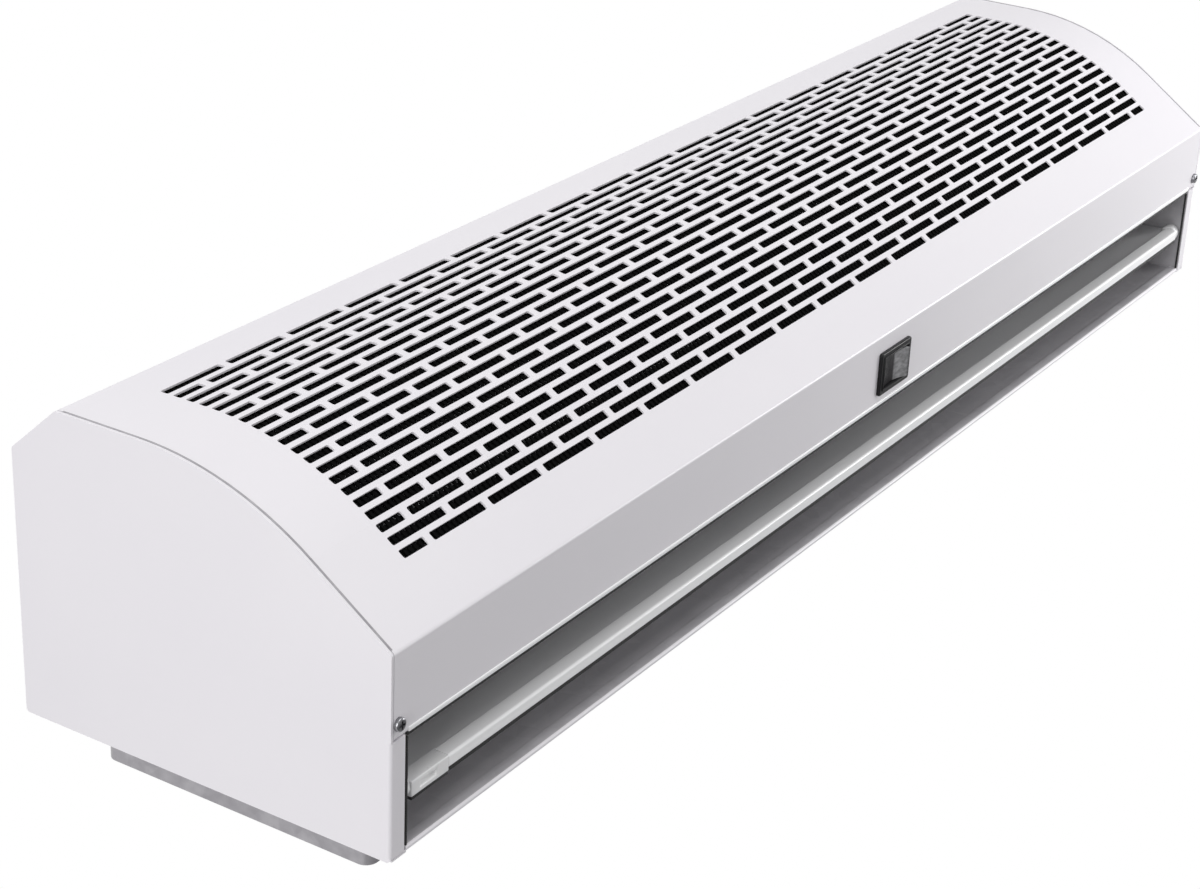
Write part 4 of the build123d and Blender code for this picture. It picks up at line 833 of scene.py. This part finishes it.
@dataclass
class SeamTrim:
    """Thin trim of the folds: grey strips at the cover's ends that paint the shadow in the gap to each end
    panel, the mouth's bead painted white as a highlight, the duct's edge strip, and black strips that paint
    the shadow at the mouth.
    """

    # A rod's edges are rounded by this share of its thinnest side
    EDGE_SHARE = 0.3

    front: CoverFront
    seam_x: float = 447.9 * MM
    seam_width: float = 1.1 * MM
    seam_proud: float = 0.12 * MM
    seam_sink: float = 0.36 * MM
    seam_low: float = 2.0 * MM
    seam_high: float = 193.0 * MM
    lip_y: float = -68.9 * MM
    face_z: float = -89.0 * MM
    half_length: float = 438.0 * MM
    bead_width: float = 2.4 * MM
    bead_proud: float = 0.5 * MM
    bead_height: float = 1.7 * MM
    # Sizes of the black strips that paint the shadow along the mouth's lip and ends
    shadow_strip_width: float = 2.2 * MM
    shadow_strip_drop: float = 0.25 * MM
    shadow_strip_height: float = 2.6 * MM
    shadow_strip_gap: float = 0.2 * MM
    duct_side: float = 438.6 * MM
    side_shadow_strip_width: float = 1.2 * MM
    side_shadow_strip_height: float = 1.3 * MM
    mouth_back: float = -12.6 * MM
    strip_proud: float = 0.25 * MM
    strip_bite: float = 0.05 * MM
    strip_low: float = 1.1 * MM
    strip_high: float = 6.2 * MM

    def build(self, finishes: Finishes) -> None:
        """Make the grey seam shadow strips, the bead's painted highlight, the duct's edge strip and the black
        shadow strips at the mouth.

        Args:
            finishes: The shared finishes.
        """
        depths = (-self.seam_proud, self.seam_sink)
        runs = (self.seam_low, self.seam_high)
        # Painted shadow: a grey strip at each end of the cover stands for the shadow in its gap to the end
        # panel
        for side in Side:
            name = f"end_seam_shadow_{side.name.lower()}"
            seam = FrontStrip.build(name, self.front, side.value * self.seam_x, self.seam_width, depths, runs)
            self.dress(seam, finishes, "galvanised_sheet")
        # Painted highlight: the bead's bright white stands for the light caught along the cover's hem
        low = (-self.half_length, self.lip_y - self.bead_width, self.face_z - self.bead_proud)
        high = (self.half_length, self.lip_y, self.face_z - self.bead_proud + self.bead_height)
        self.rod("mouth_bead_highlight", low, high, finishes, "louvre_white")
        low = (-self.half_length, self.mouth_back - self.strip_proud, self.face_z + self.strip_low)
        high = (self.half_length, self.mouth_back + self.strip_bite, self.face_z + self.strip_high)
        strip = self.rod("duct_edge_strip", low, high, finishes, "galvanised_sheet")
        # The lighter zinc copy paints light onto this strip in the shaded mouth
        strip.data.materials[0] = finishes.by_slot["lit_duct_sheet"]
        # Black strips along the mouth's lip and ends: painted shadow in the gaps there
        bottom = self.face_z + self.shadow_strip_drop
        low = (-self.half_length, self.lip_y, bottom)
        high = (self.half_length, self.lip_y + self.shadow_strip_width, bottom + self.shadow_strip_height)
        self.rod("mouth_shadow_strip", low, high, finishes, "black_rubber")
        for side in Side:
            outer = side.value * self.duct_side
            inner = side.value * (self.duct_side - self.side_shadow_strip_width)
            low = (min(outer, inner), self.lip_y + self.shadow_strip_width + self.shadow_strip_gap, bottom)
            high = (max(outer, inner), self.mouth_back - self.strip_proud, bottom + self.side_shadow_strip_height)
            self.rod(f"mouth_end_shadow_strip_{side.name.lower()}", low, high, finishes, "black_rubber")

    def rod(self, name: str, low: Point, high: Point, finishes: Finishes, slot: str) -> bpy.types.Object:
        """A straight rod with rounded edges.

        Args:
            name: The piece's name.
            low: Its low corner.
            high: Its high corner.
            finishes: The shared finishes.
            slot: The slot its finish comes from.

        Returns:
            The dressed rod.
        """
        piece = Modeller.bar(name, low, high)
        Modeller.finish(piece, self.EDGE_SHARE * min(last - first for first, last in zip(low, high)))
        self.dress(piece, finishes, slot)
        return piece

    @staticmethod
    def dress(piece: bpy.types.Object, finishes: Finishes, slot: str) -> None:
        """Finish a trim piece and let it ride on the casing.

        Args:
            piece: The trim piece.
            finishes: The shared finishes.
            slot: The slot its finish comes from.
        """
        piece.data.materials.append(finishes.by_slot[slot])
        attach(piece, "casing")
        log.info("%s: %d faces", piece.name, len(piece.data.polygons))


@dataclass
class RockerSwitch:
    """The rocker in its bezel: a shallow valley, grip ribs on the left half, and a lip round the well."""

    x: float = -2.7 * MM
    y: float = -88.0 * MM
    pivot_z: float = -86.0 * MM
    face_z: float = -91.0 * MM
    half_length: float = 12.0 * MM
    width: float = 16.8 * MM
    stand: float = 5.5 * MM
    dish: float = 2.0 * MM
    floor: float = 3.8 * MM
    tilt: float = 8.0
    ribs: int = 5
    rib_pitch: float = 1.7 * MM
    rib_width: float = 0.8 * MM
    rib_start: float = 10.4 * MM
    rib_height: float = 0.6 * MM
    rib_draft: float = 0.12 * MM
    bands: int = 8
    edge: float = 0.35 * MM
    edges_above: float = 50.0
    lip_length: float = 29.4 * MM
    lip_width: float = 19.6 * MM
    lip_wall: float = 0.9 * MM
    lip_height: float = 0.5 * MM
    lip_edge: float = 0.3 * MM
    # A face of the valley points down by at least this share of its normal
    downward: float = 0.7

    def build(self, finishes: Finishes) -> None:
        """Make the rocker and the bezel's lip.

        Args:
            finishes: The shared finishes.
        """
        self.rocker(finishes)
        self.lip(finishes)

    def valley(self, x: float) -> float:
        """Height of the outer face below the pivot at a distance from the middle.

        Args:
            x: Distance from the rocker's middle.

        Returns:
            The height in metres.
        """
        return self.stand - self.dish * (1 - (x / self.half_length) ** 2)

    def rocker(self, finishes: Finishes) -> None:
        """Shape the rocker from a block: cut it into bands, sink the valley, raise the ribs.

        Args:
            finishes: The shared finishes.
        """
        height = self.stand + self.floor
        middle = (self.x, self.y, self.pivot_z + (self.floor - self.stand) / 2)
        piece = Modeller.block("rocker_cap", middle, (2 * self.half_length, self.width, height))
        bpy.ops.object.mode_set(mode="EDIT")
        ribs = [self.rib_width + self.rib_pitch * rib - self.rib_start for rib in range(self.ribs)]
        cuts = [edge for start in ribs for edge in (start - self.rib_width, start)]
        cuts += [self.half_length * step / self.bands for step in range(-1, self.bands)]
        for offset in cuts:
            Modeller.cut((self.x + offset, 0, 0), (1, 0, 0))
        bottom = self.pivot_z - self.stand
        for offset in cuts:
            Modeller.lift(
                piece,
                lambda spot, x=self.x + offset: abs(spot.x - x) < NEAR and spot.z < bottom + NEAR,
                (0, 0, self.stand - self.valley(offset)),
            )
        Modeller.pick(
            piece,
            lambda centre, normal: normal.z < -self.downward
            and any(abs(centre.x - self.x - start + self.rib_width / 2) < NEAR for start in ribs),
        )
        bpy.ops.mesh.inset(thickness=self.rib_draft, use_individual=True)
        bpy.ops.mesh.extrude_region_shrink_fatten(TRANSFORM_OT_shrink_fatten={"value": self.rib_height})
        Modeller.finish(piece, self.edge, angle=self.edges_above)
        Modeller.turn(piece, math.radians(self.tilt), (self.x, self.y, self.pivot_z), "Y")
        piece.data.materials.append(finishes.by_slot["rocker_plastic"])
        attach(piece, "rocker")
        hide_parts("switch_rocker")
        log.info("rocker_cap: %d faces", len(piece.data.polygons))

    def lip(self, finishes: Finishes) -> None:
        """Raise a rounded lip round the rocker's well on the bezel.

        Args:
            finishes: The shared finishes.
        """
        size = (self.lip_length, self.lip_width, 2 * self.lip_height)
        piece = Modeller.block("bezel_lip", (self.x, self.y, self.face_z), size)
        bpy.ops.object.mode_set(mode="EDIT")
        Modeller.pick(piece, lambda centre, normal: abs(normal.z) > FACING)
        bpy.ops.mesh.inset(thickness=self.lip_wall)
        bpy.ops.mesh.bridge_edge_loops()
        Modeller.finish(piece, self.lip_edge, segments=2)
        piece.data.materials.append(finishes.by_slot["black_plastic"])
        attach(piece, "casing")
        log.info("bezel_lip: %d faces", len(piece.data.polygons))


@dataclass
class LouvreEnds:
    """The louvre's moulded ends and a black strip that paints the shadow under the bar: the left grip with
    its finger pocket, the right pivot cap.
    """

    axis_y: float = -38.0 * MM
    axis_z: float = -81.5 * MM
    bar_middle_z: float = -82.95 * MM
    bar_height: float = 8.9 * MM
    grip_left: float = -433.2 * MM
    grip_length: float = 27.0 * MM
    grip_depth: float = 7.8 * MM
    grip_front: float = -41.3 * MM
    pocket_start: float = 6.4 * MM
    pocket_length: float = 12.0 * MM
    pocket_rim: float = 2.3 * MM
    pocket_depth: float = 1.8 * MM
    pocket_draft: Point = (0.96, 0.8, 1.0)
    grip_edge: float = 0.6 * MM
    knuckle: float = 5.4 * MM
    knuckle_length: float = 5.0 * MM
    knuckle_bite: float = 0.5 * MM
    cap_start: float = 431.2 * MM
    cap_length: float = 7.0 * MM
    pin: float = 3.0 * MM
    pin_length: float = 3.2 * MM
    pin_bite: float = 0.4 * MM
    round_edge: float = 0.9 * MM
    round_steps: int = 48
    bar_back: float = -34.7 * MM
    # Sizes of the black strip that paints the shadow below the bar and the grip
    shadow_line_bite: float = 0.2 * MM
    shadow_line_out: float = 2.0 * MM
    shadow_line_low: float = -86.9 * MM
    shadow_line_height: float = 2.6 * MM
    shadow_line_edge: float = 0.3 * MM
    shadow_line_gap: float = 0.3 * MM
    shadow_line_inset: float = 0.8 * MM

    def build(self, finishes: Finishes) -> None:
        """Make both ends and the black shadow strip.

        Args:
            finishes: The shared finishes.
        """
        grip = Modeller.join("louvre_grip_moulding", [self.grip(), *self.barrel(Side.LEFT)])
        cap = Modeller.join("louvre_pivot_moulding", self.barrel(Side.RIGHT))
        for piece, node in ((grip, "louvre_grip"), (cap, "louvre_pivot")):
            piece.data.materials.append(finishes.by_slot["white_plastic"])
            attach(piece, "louvre")
            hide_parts(node)
            log.info("%s: %d faces", piece.name, len(piece.data.polygons))
        self.shadow_line(finishes)

    def shadow_line(self, finishes: Finishes) -> None:
        """Run a black strip along the back of the bar and of the grip, as painted shadow below them.

        Args:
            finishes: The shared finishes.
        """
        grip_right = self.grip_left + self.grip_length
        grip_back = self.grip_front + self.grip_depth
        runs = (
            ("bar_shadow_line", grip_right + self.shadow_line_gap, self.cap_start, self.bar_back),
            ("grip_shadow_line", self.grip_left + self.shadow_line_inset, grip_right, grip_back),
        )
        made = []
        for name, left, right, back in runs:
            low = (left, back - self.shadow_line_bite, self.shadow_line_low)
            high = (right, back + self.shadow_line_out, self.shadow_line_low + self.shadow_line_height)
            rod = Modeller.bar(name, low, high)
            Modeller.finish(rod, self.shadow_line_edge)
            made.append(rod)
        # Painted shadow: the black strip stands for the shade below the bar and the grip
        piece = Modeller.join("louvre_shadow_line", made)
        piece.data.materials.append(finishes.by_slot["black_rubber"])
        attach(piece, "louvre")
        log.info("louvre_shadow_line: %d faces", len(piece.data.polygons))

    def grip(self) -> bpy.types.Object:
        """Shape the grip's block and sink its pocket.

        Returns:
            The block.
        """
        middle_x = self.grip_left + self.grip_length / 2
        middle_y = self.grip_front + self.grip_depth / 2
        size = (self.grip_length, self.grip_depth, self.bar_height)
        piece = Modeller.block("grip_block", (middle_x, middle_y, self.bar_middle_z), size)
        bpy.ops.object.mode_set(mode="EDIT")
        left = self.grip_left + self.pocket_start
        right = left + self.pocket_length
        front = self.grip_front + self.pocket_rim
        back = self.grip_front + self.grip_depth - self.pocket_rim
        for x in (left, right):
            Modeller.cut((x, 0, 0), (1, 0, 0))
        for y in (front, back):
            Modeller.cut((0, y, 0), (0, 1, 0))
        Modeller.pick(
            piece,
            lambda centre, normal: normal.z < -FACING and left < centre.x < right and front < centre.y < back,
        )
        Modeller.pull((0, 0, self.pocket_depth))
        bpy.ops.transform.resize(value=self.pocket_draft)
        Modeller.finish(piece, self.grip_edge, segments=4)
        return piece

    def barrel(self, side: Side) -> list[bpy.types.Object]:
        """Turn the round end and its pin.

        Args:
            side: Which end.

        Returns:
            The round end and the pin.
        """
        if side is Side.LEFT:
            start, length = self.grip_left - self.knuckle_length, self.knuckle_length + self.knuckle_bite
            pin_middle = self.grip_left - self.knuckle_length - self.pin_length / 2
        else:
            start, length = self.cap_start, self.cap_length
            pin_middle = self.cap_start + self.cap_length + self.pin_length / 2
        made = []
        for name, radius, middle, long in (
            ("knuckle", self.knuckle, start + length / 2, length),
            ("pin", self.pin, pin_middle, self.pin_length + self.pin_bite),
        ):
            piece = Modeller.start(
                bpy.ops.mesh.primitive_cylinder_add,
                name,
                vertices=self.round_steps,
                radius=radius,
                depth=long,
                location=(middle, self.axis_y, self.axis_z),
                rotation=(0, math.radians(90), 0),
            )
            bpy.ops.object.mode_set(mode="EDIT")
            Modeller.finish(piece, min(self.round_edge, radius / 4))
            made.append(piece)
        return made


@dataclass
class PhotoView:
    """The photograph's camera: below the left end, looking up along the machine."""

    position: Point = (-1.1810, -0.6284, -0.6371)
    aim: Point = (-0.1397, -0.0627, 0.0095)
    up: Point = (0.3312, -0.9070, 0.2602)
    lens: float = 77.59
    sensor: float = 36.0

    def build(self) -> None:
        """Make the camera and give it to the scene."""
        data = bpy.data.cameras.new("photo_camera")
        data.lens = self.lens
        data.sensor_width = self.sensor
        data.sensor_fit = "HORIZONTAL"
        camera = bpy.data.objects.new("photo_camera", data)
        bpy.context.scene.collection.objects.link(camera)
        backward = (Vector(self.position) - Vector(self.aim)).normalized()
        right = Vector(self.up).cross(backward).normalized()
        turn = Matrix((right, backward.cross(right), backward)).transposed()
        camera.matrix_world = Matrix.Translation(self.position) @ turn.to_4x4()
        bpy.context.scene.camera = camera


@dataclass
class Studio:
    """Plain pale floor under the hung machine, a white surround and soft light."""

    floor_drop: float = 2.2
    floor_size: float = 12.0
    floor_border: float = 0.12
    floor_colour: Colour = (0.80, 0.80, 0.80)
    floor_shade: float = 0.97
    floor_roughness: float = 0.9
    ambient: float = 0.17

    def build(self) -> None:
        """Make the floor, the surround and the lamps."""
        self.floor()
        self.surround()
        self.lamp("front_softbox", (0.0, -2.4, -0.4), size=2.0, power=33.5)
        self.lamp("left_softbox", (-2.6, -0.7, -0.1), size=1.6, power=46.0)
        self.lamp("low_softbox", (1.05, -0.2, -0.78), size=0.5, power=8.5)
        self.lamp("top_softbox", (0.3, -1.6, 1.8), size=1.4, power=12.0)
        bpy.context.scene.view_settings.view_transform = "Standard"

    def floor(self) -> None:
        """Lay the floor: one large face with a narrow border."""
        piece = Modeller.start(
            bpy.ops.mesh.primitive_plane_add, "floor", size=self.floor_size, location=(0, 0, -self.floor_drop)
        )
        bpy.ops.object.mode_set(mode="EDIT")
        bpy.ops.mesh.inset(thickness=self.floor_border)
        bpy.ops.object.mode_set(mode="OBJECT")
        graph = NodeGraph("floor_paint")
        tone = graph.noise((0.6, 0.6, 0.6))
        shade = tuple(channel * self.floor_shade for channel in self.floor_colour)
        graph.set(Socket.COLOUR, graph.blend(tone, self.floor_colour, shade))
        graph.set(Socket.ROUGHNESS, self.floor_roughness)
        piece.data.materials.append(graph.material)

    def surround(self) -> None:
        """White for what is seen directly or in a reflection, softer for the light it gives."""
        world = bpy.data.worlds.new("surround")
        world.use_nodes = True
        tree = world.node_tree
        output = tree.nodes["World Output"]
        seen = tree.nodes["Background"]
        seen.inputs["Color"].default_value = (1.0, 1.0, 1.0, 1.0)
        seen.inputs["Strength"].default_value = 1.0
        given = tree.nodes.new("ShaderNodeBackground")
        given.inputs["Color"].default_value = (0.97, 0.97, 1.0, 1.0)
        given.inputs["Strength"].default_value = self.ambient
        path = tree.nodes.new("ShaderNodeLightPath")
        total = path.outputs["Is Camera Ray"]
        for ray in ("Is Glossy Ray", "Is Transmission Ray"):
            either = tree.nodes.new("ShaderNodeMath")
            either.operation = "MAXIMUM"
            tree.links.new(total, either.inputs[0])
            tree.links.new(path.outputs[ray], either.inputs[1])
            total = either.outputs[0]
        mix = tree.nodes.new("ShaderNodeMixShader")
        tree.links.new(total, mix.inputs["Fac"])
        tree.links.new(given.outputs[0], mix.inputs[1])
        tree.links.new(seen.outputs[0], mix.inputs[2])
        tree.links.new(mix.outputs[0], output.inputs["Surface"])
        bpy.context.scene.world = world

    @staticmethod
    def lamp(name: str, position: Point, size: float, power: float) -> None:
        """Hang a square area lamp that faces the machine.

        Args:
            name: The lamp's name.
            position: Its place in metres.
            size: Its side in metres.
            power: Its power in watts.
        """
        data = bpy.data.lights.new(name, "AREA")
        data.size = size
        data.energy = power
        lamp = bpy.data.objects.new(name, data)
        lamp.location = position
        lamp.rotation_euler = (Vector((0, -0.1, 0)) - Vector(position)).to_track_quat("-Z", "Y").to_euler()
        bpy.context.scene.collection.objects.link(lamp)


def main() -> None:
    """Build the scene's pieces in order and report each."""
    logging.basicConfig(level=logging.INFO, format="%(name)s %(message)s")
    PhotoView().build()
    Studio().build()
    finishes = Finishes()
    finishes.dress_nodes()
    log.info("dressed %d packed nodes", len(frame["nodes"]))
    DustNetAndShade(CoverFront()).build(finishes)
    SeamTrim(CoverFront()).build(finishes)
    RockerSwitch().build(finishes)
    LouvreEnds().build(finishes)


if __name__ == "__main__":
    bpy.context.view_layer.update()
    main()
